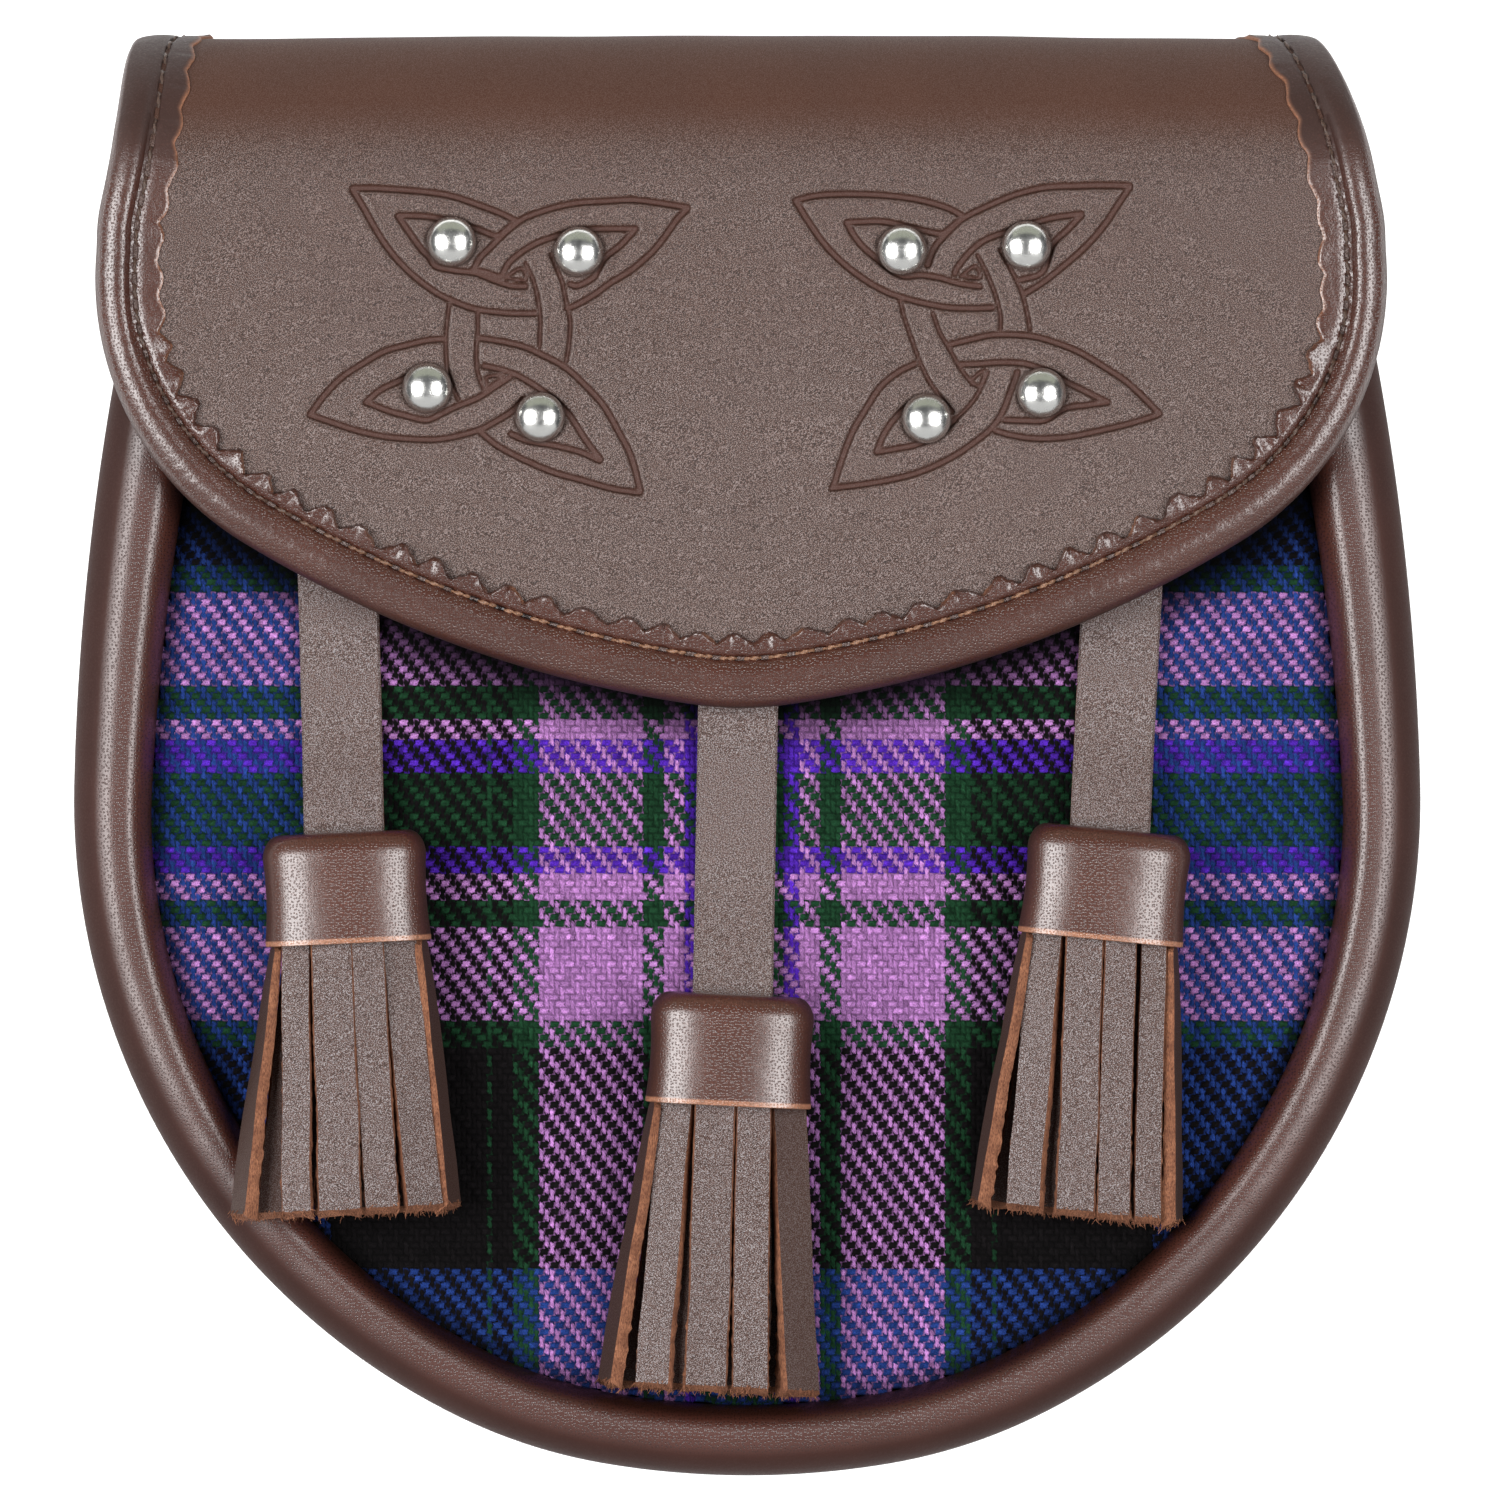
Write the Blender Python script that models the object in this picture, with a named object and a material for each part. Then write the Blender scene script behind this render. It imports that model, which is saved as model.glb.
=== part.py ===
"""Sporran pouch with a checked wool front, a bound leather flap, eight dome studs and three leather tassels.

It lies on its back: +X runs across, +Y towards the folded top, +Z out of the front. The origin is on the
resting plane, under the middle of the pouch. Sizes are in millimetres and each mesh is made in metres.
"""

from math import atan2, cos, hypot, pi, radians, sin

import bmesh
import bpy
from mathutils import Matrix, Vector

MM = 0.001
GAP = 0.3                   # clearance between two pieces that meet

# Outline of the pouch, right half, from the lowest point: radius, turn in degrees.
BODY_START = (0.0, -102.1)
BODY_ARCS = ((120.5, 9.7), (75.8, 16.3), (96.8, 65.3), (381.4, 12.0))
BODY_STEP = 13.0

# Gusset: one leather wall with a fat roll in front and another behind.
WALL = 1.9
ROLL_RADIUS = 6.15          # half the height of a roll
ROLL_FRONT_Z = 35.35        # height of the front roll's centre
ROLL_REAR_Z = 5.9           # height of the rear roll's centre, pressed flat where it lies
ROLL_TUCK = 30.0            # degrees that a roll turns in past its inner flank
ROLL_STEPS = 8              # steps round a roll
WAIST = 1.0                 # how far the wall draws in between the rolls
WAIST_ROWS = ((0.7, 27.5), (1.0, 20.6), (0.7, 13.7))    # share of that, height
WALL_SHARE = 0.3            # most of a roll's width that one wall takes up
ROLL_WIDTH = ((-102.0, 10.0), (-60.0, 10.2), (-10.0, 10.9), (40.0, 12.3), (76.0, 12.3))   # y, width
GUSSET_TOP = 41.5           # height of the front roll's crest

# Upper ends of the gusset, tucked into the fold of the flap: x, y, width of the roll, lowest, highest.
GUSSET_ENDS = (
    (83.6, 80.0, 9.6, 4.0, 41.3), (82.5, 84.6, 7.4, 9.4, 40.6), (81.3, 89.4, 5.8, 12.8, 37.2),
    (80.4, 93.2, 4.8, 17.0, 33.0))

# Flat back and domed front panel, both held between the rolls.
BACK_Z = 6.8
BACK_THICK = 2.0
BACK_TOP = (70.5, 78.5)     # corner of the back panel's top edge
FRONT_Z = 33.0
FRONT_THICK = 2.0
FRONT_CROWN = 3.6           # rise of the front panel at its middle
FRONT_CROWN_REACH = (82.0, 88.0)
FRONT_CROWN_Y = -8.0
PANEL_RINGS = (1.0, 0.76, 0.46, 0.16)
PANEL_TOP_STEPS = 8

# Flap outline, right half, from its lowest point: radius, turn in degrees. Then half-width along the leather.
FLAP_X = -0.85
FLAP_START = (0.0, 6.3)
FLAP_ARCS = ((43.3, 7.9), (167.2, 23.5), (43.5, 63.3))
FLAP_SIDES = (              # length along the leather, half-width
    (69.6, 90.7), (75.3, 90.5), (80.9, 89.4), (86.6, 88.2), (92.9, 86.6), (101.0, 84.6), (109.3, 82.6),
    (120.0, 79.6), (130.0, 75.9), (139.6, 72.0), (147.0, 70.6), (158.0, 69.4))
FLAP_THICK = 2.4
FLAP_Z = 44.8               # middle of the leather in front
TAIL_Z = 5.3                # middle of the leather behind
BEND_Y = 79.45              # where the leather leaves the front and turns over the top
BEND_RADIUS = (FLAP_Z - TAIL_Z) / 2
BEND_LENGTH = pi * BEND_RADIUS
BEND_STEPS = 12
FLAP_CROWN = 1.6            # how far the flap's middle stands out
FLAP_CROWN_WIDTH = 88.0
FLAP_EDGE_IN = 2.6          # from the binding's edge to the leather's own edge
FLAP_COLUMNS = 10
FLAP_STEP = 9.0             # length of a step round the flap's edge
TAIL_CORNER = 8.0           # size of the rounding at the end of the leather behind
TAIL_CORNER_ROWS = ((0.3, 0.6), (1.0, 0.9))     # shares of it: inwards, along the leather
TAIL_STRAIGHT = 8.0         # first straight step of the leather behind

# Folded edging round the flap: distance in from its outer edge, half-thickness.
BINDING_BEAD = ((0.0, 0.0), (0.3, 1.3), (1.4, 2.4), (3.1, 2.9), (4.7, 2.6), (5.7, 2.15), (9.0, 2.3))
BINDING_HOLLOW = 1.5        # half-height of the slot that takes the leather
BINDING_END = 139.0         # length along the leather where the edging stops behind

SNAP_AT = (0.0, 34.0)
SNAP_PROFILE = ((7.0, 0.0), (7.0, 1.6), (4.2, 2.2), (4.2, 4.4), (7.0, 5.0))      # radius, height
SNAP_POINTS = 16

STUD_RADIUS = 3.15
STUD_HEIGHT = 2.5
STUD_FOOT = 0.92            # radius of the foot over the dome's
STUD_RIM = 0.35             # height of the dome's rim
STUD_ANGLES = (8, 32, 55, 78)
STUD_POINTS = 14
STUDS = (                   # x, length along the leather
    (-41.6, 71.9), (-23.7, 70.5), (-45.0, 51.3), (-29.1, 47.2),
    (21.8, 70.7), (39.3, 71.3), (25.2, 47.0), (41.4, 50.6))

# Belt loops on the back: a leather bridge each, open along X.
LOOP_X = 40.0
LOOP_Y = 32.0
LOOP_WIDTH = 16.0
LOOP_THICK = 1.7
LOOP_PATH = (               # y from the middle, height of the leather's middle
    (-22.0, 5.62), (-15.6, 5.62), (-14.6, 5.2), (-12.6, 1.6), (-11.4, 1.17),
    (11.4, 1.17), (12.6, 1.6), (14.6, 5.2), (15.6, 5.62), (22.0, 5.62))

# Tassels: strap's top end, cap's centre, cap's turn in degrees, fringe's end, height of its middle there, and
# how much the end rises for each millimetre across.
TASSELS = {
    "left": {
        "strap": (-58.1, 38.0), "cap": (-56.5, -19.0), "turn": 2.7,
        "end": (-57.0, -64.1), "end_z": 45.2, "tip": -0.12},
    "middle": {
        "strap": (-1.0, 22.0), "cap": (-2.3, -41.8), "turn": -2.8,
        "end": (-5.4, -89.1), "end_z": 40.2, "tip": 0.0},
    "right": {
        "strap": (53.7, 38.0), "cap": (50.5, -18.5), "turn": -5.7,
        "end": (46.7, -64.4), "end_z": 41.4, "tip": -0.02},
}
STRAP_WIDTH = 11.3
STRAP_THICK = 1.8
STRAP_STEPS = 10
STRAP_RISE = 16.0           # length over which the strap climbs to the cap's slot
STRAP_IN_CAP = 3.0
CAP_HALF = (11.5, 6.0)      # half-width, half-depth
CAP_TOP = 7.8               # half the cap's height
CAP_LIFT = 0.2              # how far the cap stands off the front
CAP_WALL = 1.6
CAP_SHOULDER = 4.6          # height where the shoulders begin
CAP_SWELL = (0.35, 0.25)    # how much the mouth is wider than the waist, across and deep
SLOT_HALF = (6.4, 1.55)
SLOT_SINK = 1.9             # the slot lies this far behind the cap's middle
CAP_POWER = 2.6             # squareness of the cap's section
SHOULDER_POWER = 3.0
SLOT_POWER = 6.0
CAP_POINTS = 20
# Rows of the cap from slot to mouth: share of the half-sizes, share of the swell, sink, height, squareness.
CAP_OUTSIDE = (
    (0.80, 0.0, 0.5, CAP_TOP, SHOULDER_POWER), (0.94, 0.0, 0.1, 6.776, CAP_POWER),
    (1.0, 0.0, 0.0, CAP_SHOULDER, CAP_POWER), (1.0, -0.6, 0.0, 0.0, CAP_POWER),
    (1.0, 0.4, 0.0, -CAP_TOP, CAP_POWER))
CAP_INSIDE = (
    (0.88, 0.0, 0.3, CAP_TOP - CAP_WALL, SHOULDER_POWER), (0.98, 0.0, 0.0, CAP_SHOULDER, CAP_POWER),
    (1.0, -0.6, 0.0, 0.0, CAP_POWER), (1.0, 0.4, 0.0, -CAP_TOP, CAP_POWER))
HEAD_TOP = 3.0              # top of the fringe's uncut head, above the cap's middle
HEAD_END = 0.6              # how far the head stops short of the cap's mouth
HEAD_CLEAR = 0.8            # clearance between the head and the cap
STRIP_THICK = 2.0
STRIP_TAPER = 0.8           # a strip's width inside the cap over its width at the end
STRIP_TURN_TAPER = 0.85     # the same for its turn
STRIP_THIN = 0.8            # the same for its thickness
STRIP_RISE = 4.5            # how far a strip reaches into the head
STRIP_RISE_STEP = 0.18      # how much further each next strip reaches
STRIP_SHARES = (0.0, 0.4, 1.0)
EDGE_TURN = 45              # a strip turned by more than this stands on its edge
EDGE_HALF = 1.9             # half-width of such a strip inside the cap

# Fringe strips: place across the end, width, turn in degrees, depth at the end, place across the cap,
# depth there.
FRINGE = {
    "left": (
        (-6.2, 4.0, 2, 2.7, -4.4, 2.2), (0.0, 5.6, 0, 3.1, 0.0, 2.6), (5.55, 4.7, -2, 2.9, 4.0, 2.3),
        (11.95, 4.3, -5, 2.4, 7.1, 1.4), (-14.2, 6.4, 66, 0.3, -7.6, 0.0), (15.0, 6.0, -72, -0.5, 7.7, 0.0),
        (-9.3, 5.0, 26, 0.1, -5.0, 0.0), (8.7, 4.8, -14, 0.2, 4.0, 0.0),
        (-9.6, 5.4, -4, -2.9, -6.0, -1.9), (0.2, 5.6, 2, -2.9, 0.4, -2.5), (9.4, 5.4, 3, -2.9, 6.2, -1.9)),
    "middle": (
        (-8.2, 4.4, 4, 2.6, -5.2, 2.0), (-0.2, 5.55, 0, 3.1, -0.4, 2.6), (5.75, 5.15, -2, 2.9, 4.2, 2.3),
        (13.3, 4.5, -6, 2.0, 7.4, 1.2), (-13.9, 6.2, 62, 0.2, -7.6, 0.0), (11.4, 4.6, -58, -0.7, 7.4, 0.0),
        (-5.2, 4.8, 20, 0.2, -3.4, 0.0), (6.4, 4.2, -12, 0.1, 3.4, 0.0),
        (-9.4, 5.4, 3, -2.9, -6.0, -1.9), (0.4, 5.6, -2, -2.9, 0.3, -2.5), (9.4, 5.4, -3, -2.9, 6.2, -1.9)),
    "right": (
        (-7.9, 4.9, 4, 2.6, -5.2, 2.0), (-0.5, 5.4, 0, 3.1, -0.4, 2.6), (4.75, 4.5, -1, 3.0, 3.9, 2.3),
        (9.5, 3.9, -4, 2.6, 7.2, 1.3), (-14.2, 6.0, 60, 0.0, -7.6, 0.0), (14.2, 6.0, -64, 0.0, 7.7, 0.0),
        (-4.6, 4.8, 18, 0.1, -3.2, 0.0), (7.0, 4.6, -12, 0.0, 4.0, 0.0),
        (-9.4, 5.4, 4, -2.9, -6.0, -1.9), (0.0, 5.6, -2, -2.9, 0.2, -2.5), (9.2, 5.4, -3, -2.9, 6.2, -1.9)),
}

LEATHER = ("brown_leather", (0.072, 0.028, 0.017), 0.42, 0.0)
ROLL_LEATHER = ("soft_brown_leather", (0.060, 0.020, 0.012), 0.38, 0.0)
WOOL = ("checked_wool", (0.060, 0.032, 0.130), 0.92, 0.0)
STEEL = ("bright_metal", (0.780, 0.780, 0.790), 0.12, 1.0)


def clear_scene():
    """Remove every object that the scene holds."""
    for obj in list(bpy.data.objects):
        bpy.data.objects.remove(obj, do_unlink=True)


def finish_material(name, colour, roughness, metallic):
    """Make a Principled material."""
    mat = bpy.data.materials.new(name)
    mat.use_nodes = True
    shader = next(node for node in mat.node_tree.nodes if node.type == "BSDF_PRINCIPLED")
    shader.inputs["Base Color"].default_value = (*colour, 1.0)
    shader.inputs["Roughness"].default_value = roughness
    shader.inputs["Metallic"].default_value = metallic
    return mat


def add_solid(name, shape, finish, sharp=35.0):
    """Make one named object from points in millimetres and faces, with its own material."""
    points, faces = shape
    mesh = bpy.data.meshes.new(name)
    mesh.from_pydata([Vector(p) * MM for p in points], [], faces)
    work = bmesh.new()
    work.from_mesh(mesh)
    bmesh.ops.recalc_face_normals(work, faces=work.faces)
    bmesh.ops.triangulate(work, faces=work.faces)
    work.to_mesh(mesh)
    work.free()
    mesh.shade_smooth()
    mesh.set_sharp_from_angle(angle=radians(sharp))
    obj = bpy.data.objects.new(name, mesh)
    bpy.context.scene.collection.objects.link(obj)
    slot, colour, roughness, metallic = finish
    mesh.materials.append(finish_material(f"{name}_{slot}", colour, roughness, metallic))
    return obj


def skin(rings, wrap=False):
    """Join rings of equal count into a closed body: capped at both ends, or joined end to start."""
    count = len(rings[0])
    points = [point for ring in rings for point in ring]
    faces = []
    for r in range(len(rings) if wrap else len(rings) - 1):
        here, there = r * count, (r + 1) % len(rings) * count
        for k in range(count):
            n = (k + 1) % count
            faces.append((here + k, here + n, there + n, there + k))
    if not wrap:
        faces.append(tuple(range(count)))
        faces.append(tuple(range(len(points) - count, len(points))))
    return points, faces


def lookup(table, value):
    """Read the second column of a table at a value of the first, straight between rows."""
    for (low, a), (high, b) in zip(table, table[1:]):
        if value <= high:
            return a + (b - a) * max(0.0, (value - low) / (high - low))
    return table[-1][1]


def ease(t):
    """Smooth step from 0 to 1."""
    t = min(1.0, max(0.0, t))
    return t * t * (3.0 - 2.0 * t)


def follow_arcs(start, arcs, step):
    """Points of a chain of arcs that sets out along +X and turns left, with the heading at each point."""
    (x, y), heading = start, 0.0
    path = [(x, y, heading)]
    for radius, turn in arcs:
        parts = max(1, round(radius * radians(turn) / step))
        middle = (x - radius * sin(heading), y + radius * cos(heading))
        for k in range(1, parts + 1):
            now = heading + radians(turn) * k / parts
            path.append((middle[0] + radius * sin(now), middle[1] - radius * cos(now), now))
        x, y, heading = path[-1]
    return path


def both_halves(half):
    """Mirror a right half about x = 0: left end, lowest point, right end, with the inward direction at each."""
    right = [(x, y, -sin(h), cos(h)) for x, y, h in half]
    left = [(-x, y, -nx, ny) for x, y, nx, ny in right[:0:-1]]
    return left + right


def offset_side(path, distance):
    """Move each point of an open path to its left by a distance."""
    moved = []
    for k, (a, b) in enumerate(path):
        (a0, b0), (a1, b1) = path[max(0, k - 1)], path[min(len(path) - 1, k + 1)]
        size = hypot(a1 - a0, b1 - b0)
        moved.append((a - (b1 - b0) / size * distance, b + (a1 - a0) / size * distance))
    return moved


def body_stations():
    """Stations round the pouch: x, y, inward x, inward y, width of the roll."""
    path = both_halves(follow_arcs(BODY_START, BODY_ARCS, BODY_STEP))
    return [(x, y, nx, ny, lookup(ROLL_WIDTH, y)) for x, y, nx, ny in path]


def inset_points():
    """The line just inside the rolls, where both panels end."""
    return [(x + nx * (w + GAP), y + ny * (w + GAP)) for x, y, nx, ny, w in body_stations()]


def gusset_profile(width, low=0.0, high=GUSSET_TOP):
    """Closed section of the gusset: distance in from the outline, height."""
    half = width / 2
    front, rear = [], []
    for k in range(ROLL_STEPS + 1):
        angle = radians(-ROLL_TUCK + (180.0 + ROLL_TUCK) * k / ROLL_STEPS)
        front.append((half + half * cos(angle), ROLL_FRONT_Z + ROLL_RADIUS * sin(angle)))
        rear.append((half + half * cos(angle), max(0.0, ROLL_REAR_Z - ROLL_RADIUS * sin(angle))))
    waist = WAIST * half / ROLL_RADIUS
    middle = [(waist * share, z) for share, z in WAIST_ROWS]
    outer = [(n, low + z * (high - low) / GUSSET_TOP) for n, z in front + middle + rear[::-1]]
    return outer + offset_side(outer, min(WALL, width * WALL_SHARE))[::-1]


def gusset():
    """One wall swept round the sides and the bottom, its upper ends tucked into the fold."""
    rings = []
    for x, y, nx, ny, width in body_stations():
        rings.append([(x + nx * n, y + ny * n, z) for n, z in gusset_profile(width)])
    for x, y, width, low, high in GUSSET_ENDS:
        rings.append([(x - n, y, z) for n, z in gusset_profile(width, low, high)])
        rings.insert(0, [(n - x, y, z) for n, z in gusset_profile(width, low, high)])
    return skin(rings)


def back_panel():
    """Flat back between the rear rolls."""
    x_top, y_top = BACK_TOP
    edge = [(-x_top, y_top)] + inset_points() + [(x_top, y_top)]
    return skin([[(x, y, z) for x, y in edge] for z in (BACK_Z, BACK_Z + BACK_THICK)])


def front_rise(x, y):
    """Height of the front panel's crown at a place."""
    across = 1.0 - (x / FRONT_CROWN_REACH[0]) ** 2
    along = 1.0 - ((y - FRONT_CROWN_Y) / FRONT_CROWN_REACH[1]) ** 2
    return FRONT_CROWN * max(0.0, across) * max(0.0, along)


def front_top(x, y):
    """Height of the front panel's outer face at a place."""
    return FRONT_Z + FRONT_THICK + front_rise(x, y)


def front_panel():
    """Domed front between the front rolls, with a straight top edge hidden by the flap."""
    edge = inset_points()
    (x0, y_top), x1 = edge[0], edge[-1][0]
    edge += [(x1 + (x0 - x1) * k / PANEL_TOP_STEPS, y_top) for k in range(1, PANEL_TOP_STEPS)]

    def ring(share, lift):
        moved = [(x * share, FRONT_CROWN_Y + (y - FRONT_CROWN_Y) * share) for x, y in edge]
        return [(x, y, FRONT_Z + front_rise(x, y) + lift) for x, y in moved]

    return skin([ring(s, 0.0) for s in PANEL_RINGS[::-1]] + [ring(s, FRONT_THICK) for s in PANEL_RINGS])


def flap_place(x, along, height):
    """Point of the flap: x, length along the leather from y = 0, height above the leather's middle."""
    if along <= BEND_Y:
        across = max(0.0, 1.0 - (x / FLAP_CROWN_WIDTH) ** 2)
        reach = min(1.0, max(0.0, (along - FLAP_START[1]) / (BEND_Y - FLAP_START[1])))
        return Vector((x, along, FLAP_Z + height + FLAP_CROWN * across * sin(pi * reach) ** 2))
    angle = (along - BEND_Y) / BEND_RADIUS
    if angle < pi:
        reach = BEND_RADIUS + height
        return Vector((x, BEND_Y + reach * sin(angle), TAIL_Z + BEND_RADIUS + reach * cos(angle)))
    return Vector((x, BEND_Y - (along - BEND_Y - BEND_LENGTH), TAIL_Z - height))


def flap_edge():
    """Right edge of the flap from its lowest point: half-width, length along the leather, heading."""
    front = follow_arcs(FLAP_START, FLAP_ARCS, FLAP_STEP)
    turns = [BEND_Y + BEND_LENGTH * k / BEND_STEPS for k in range(BEND_STEPS + 1)]
    rows = [(lookup(FLAP_SIDES, v), v) for v in turns + [BEND_Y + BEND_LENGTH + TAIL_STRAIGHT, FLAP_SIDES[-1][0]]]
    sides = []
    for (x0, v0), (x1, v1) in zip([front[-1][:2]] + rows, rows):
        sides.append((x1, v1, atan2(v1 - v0, x1 - x0)))
    return front + sides


def flap():
    """One sheet: front, bend over the top, and tail behind the back panel."""
    rows = [(x - FLAP_EDGE_IN * sin(h), v + FLAP_EDGE_IN * cos(h)) for x, v, h in flap_edge()][1:]
    half, end = rows[-1]
    rows += [(half - TAIL_CORNER * inward, end + TAIL_CORNER * on) for inward, on in TAIL_CORNER_ROWS]
    half_thick = FLAP_THICK / 2
    rings = []
    for half, along in rows:
        across = [FLAP_X + half * (2.0 * k / FLAP_COLUMNS - 1.0) for k in range(FLAP_COLUMNS + 1)]
        face = [flap_place(x, along, half_thick) for x in across]
        rings.append(face + [flap_place(x, along, -half_thick) for x in across[::-1]])
    return skin(rings)


def flap_binding():
    """Edging folded round the flap's edge, with a fat outer bead and a flange on each face."""
    upper = list(BINDING_BEAD)
    inner = [(BINDING_BEAD[-1][0], BINDING_HOLLOW), (FLAP_EDGE_IN - GAP, BINDING_HOLLOW)]
    section = upper + inner + [(m, -h) for m, h in inner[::-1]] + [(m, -h) for m, h in upper[:0:-1]]
    edge = [row for row in flap_edge() if row[1] < BINDING_END]
    rings = []
    for x, v, nx, ny in both_halves(edge):
        rings.append([flap_place(FLAP_X + x + nx * m, v + ny * m, h) for m, h in section])
    return skin(rings)


def turned(profile, count):
    """Body of revolution about +Z from rows of radius and height, with flat ends."""
    rings = []
    for radius, height in profile:
        angles = [2 * pi * k / count for k in range(count)]
        rings.append([(radius * cos(a), radius * sin(a), height) for a in angles])
    return skin(rings)


def placed(shape, origin, up=(0.0, 0.0, 1.0)):
    """Move a shape to an origin, with its +Z along a direction."""
    turn = Vector((0, 0, 1)).rotation_difference(Vector(up)).to_matrix().to_4x4()
    move = Matrix.Translation(Vector(origin)) @ turn
    points, faces = shape
    return [move @ Vector(p) for p in points], faces


def flap_snap():
    """Hidden press fastener between the front panel and the flap."""
    x, y = SNAP_AT
    near = y - SNAP_PROFILE[0][0]
    floor = front_top(x, near) + GAP
    ceiling = flap_place(x, near, -FLAP_THICK / 2).z - GAP
    profile = SNAP_PROFILE + ((SNAP_PROFILE[-1][0], ceiling - floor),)
    return placed(turned(profile, SNAP_POINTS), (x, y, floor))


def stud(x, along):
    """Dome on the flap's face, square to the leather."""
    base = flap_place(x, along, FLAP_THICK / 2)
    slope_x = flap_place(x + 1, along, 0) - flap_place(x - 1, along, 0)
    slope_y = flap_place(x, along + 1, 0) - flap_place(x, along - 1, 0)
    up = slope_x.cross(slope_y).normalized()
    profile = [(STUD_RADIUS * STUD_FOOT, 0.0)]
    for angle in map(radians, STUD_ANGLES):
        profile.append((STUD_RADIUS * cos(angle), STUD_RIM + (STUD_HEIGHT - STUD_RIM) * sin(angle)))
    return placed(turned(profile, STUD_POINTS), base + up * GAP, up)


def belt_loop(x):
    """Leather bridge whose feet lie on the back panel."""
    path = [(LOOP_Y + y, z) for y, z in LOOP_PATH]
    section = offset_side(path, LOOP_THICK / 2) + offset_side(path, -LOOP_THICK / 2)[::-1]
    return skin([[(x + side * LOOP_WIDTH / 2, y, z) for y, z in section] for side in (-1, 1)])


def tassel_frame(spec):
    """Frame at the cap's middle: origin, across, along the strap upwards."""
    x, y = spec["cap"]
    turn = radians(spec["turn"])
    middle = front_top(x, y) + GAP + CAP_HALF[1] + CAP_LIFT
    return Vector((x, y, middle)), Vector((cos(turn), sin(turn), 0)), Vector((-sin(turn), cos(turn), 0))


def tassel_strap(spec):
    """Flat strap that lies on the front panel and climbs into the cap's slot."""
    middle, across, up = tassel_frame(spec)
    top = Vector((*spec["strap"], 0))
    end = middle + up * (CAP_TOP - STRAP_IN_CAP)
    slot_z = middle.z - SLOT_SINK
    length = (Vector((end.x, end.y, 0)) - top).length
    rings = []
    for k in range(STRAP_STEPS + 1):
        share = k / STRAP_STEPS
        x, y = top.x + (end.x - top.x) * share, top.y + (end.y - top.y) * share
        resting = front_top(x, y) + GAP + STRAP_THICK / 2
        climb = ease(1.0 - ((1.0 - share) * length - STRAP_IN_CAP) / STRAP_RISE)
        z = resting + (slot_z - resting) * climb
        side = across * (STRAP_WIDTH / 2)
        ring = []
        for s, t in ((-1, -1), (1, -1), (1, 1), (-1, 1)):
            ring.append((x + side.x * s, y + side.y * s, z + t * STRAP_THICK / 2))
        rings.append(ring)
    return skin(rings)


def flat_ring(half, sink, height, power, frame):
    """Rounded rectangle square to the tassel's length."""
    middle, across, up = frame
    ring = []
    for k in range(CAP_POINTS):
        angle = 2 * pi * (k + 0.5) / CAP_POINTS
        a, b = cos(angle), sin(angle)
        u = half[0] * abs(a) ** (2 / power) * (1 if a > 0 else -1)
        w = half[1] * abs(b) ** (2 / power) * (1 if b > 0 else -1)
        ring.append(middle + across * u + up * height + Vector((0, 0, w - sink)))
    return ring


def cap_rings(half, rows, frame):
    """Rings of one side of the cap's wall, from the slot to the mouth."""
    swell = Vector(CAP_SWELL)
    rings = []
    for size, more, sink, height, power in rows:
        rings.append(flat_ring(half * size + swell * more, sink, height, power, frame))
    return rings


def tassel_cap(spec):
    """Flattened leather sleeve: rounded shoulders, a slot above and an open mouth below."""
    frame = tassel_frame(spec)
    half = Vector(CAP_HALF)
    outside = cap_rings(half, CAP_OUTSIDE, frame)
    inside = cap_rings(half - Vector((CAP_WALL, CAP_WALL)), CAP_INSIDE, frame)
    slot = [flat_ring(SLOT_HALF, SLOT_SINK, height, SLOT_POWER, frame) for height in (CAP_TOP, CAP_TOP - CAP_WALL)]
    return skin([slot[0]] + outside + inside[::-1] + [slot[1]], wrap=True)


def fringe_head(spec):
    """Uncut upper part of the fringe, rolled up inside the cap."""
    frame = tassel_frame(spec)
    half = [size - CAP_WALL - HEAD_CLEAR for size in CAP_HALF]
    return skin([flat_ring(half, 0.0, h, CAP_POWER, frame) for h in (HEAD_TOP, HEAD_END - CAP_TOP)])


def strip_ring(heart, flat, face, half, thick):
    """Corners of a strip's section."""
    return [heart + flat * half * s + face * thick * t for s, t in ((-1, -1), (1, -1), (1, 1), (-1, 1))]


def fringe_strip(spec, row, place):
    """One strip from inside the head to the fringe's end; each starts a little higher than the last."""
    end_u, width, turn, end_w, top_u, top_w = row
    middle, across, up = tassel_frame(spec)
    start, end = middle - up * CAP_TOP, Vector((*spec["end"], spec["end_z"]))
    on_edge = abs(turn) > EDGE_TURN
    rings = []
    for number, share in enumerate((0.0,) + STRIP_SHARES):
        spread = ease(share / 2) * 2
        rise = STRIP_RISE + STRIP_RISE_STEP * place if number == 0 else 0.0
        u, w = top_u + (end_u - top_u) * spread, top_w + (end_w - top_w) * spread
        lean = radians(turn) * (STRIP_TURN_TAPER + (1 - STRIP_TURN_TAPER) * spread)
        flat = across * cos(lean) + Vector((0, 0, sin(lean)))
        face = Vector((0, 0, cos(lean))) - across * sin(lean)
        depth = w + spec["tip"] * u * spread
        heart = start.lerp(end, share) + up * rise + across * u + Vector((0, 0, depth))
        half = width / 2 * (STRIP_TAPER + (1 - STRIP_TAPER) * spread)
        inside = share == 0
        thick = STRIP_THICK / 2 * (STRIP_THIN if inside else 1.0)
        rings.append(strip_ring(heart, flat, face, EDGE_HALF if inside and on_edge else half, thick))
    return skin(rings)


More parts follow.
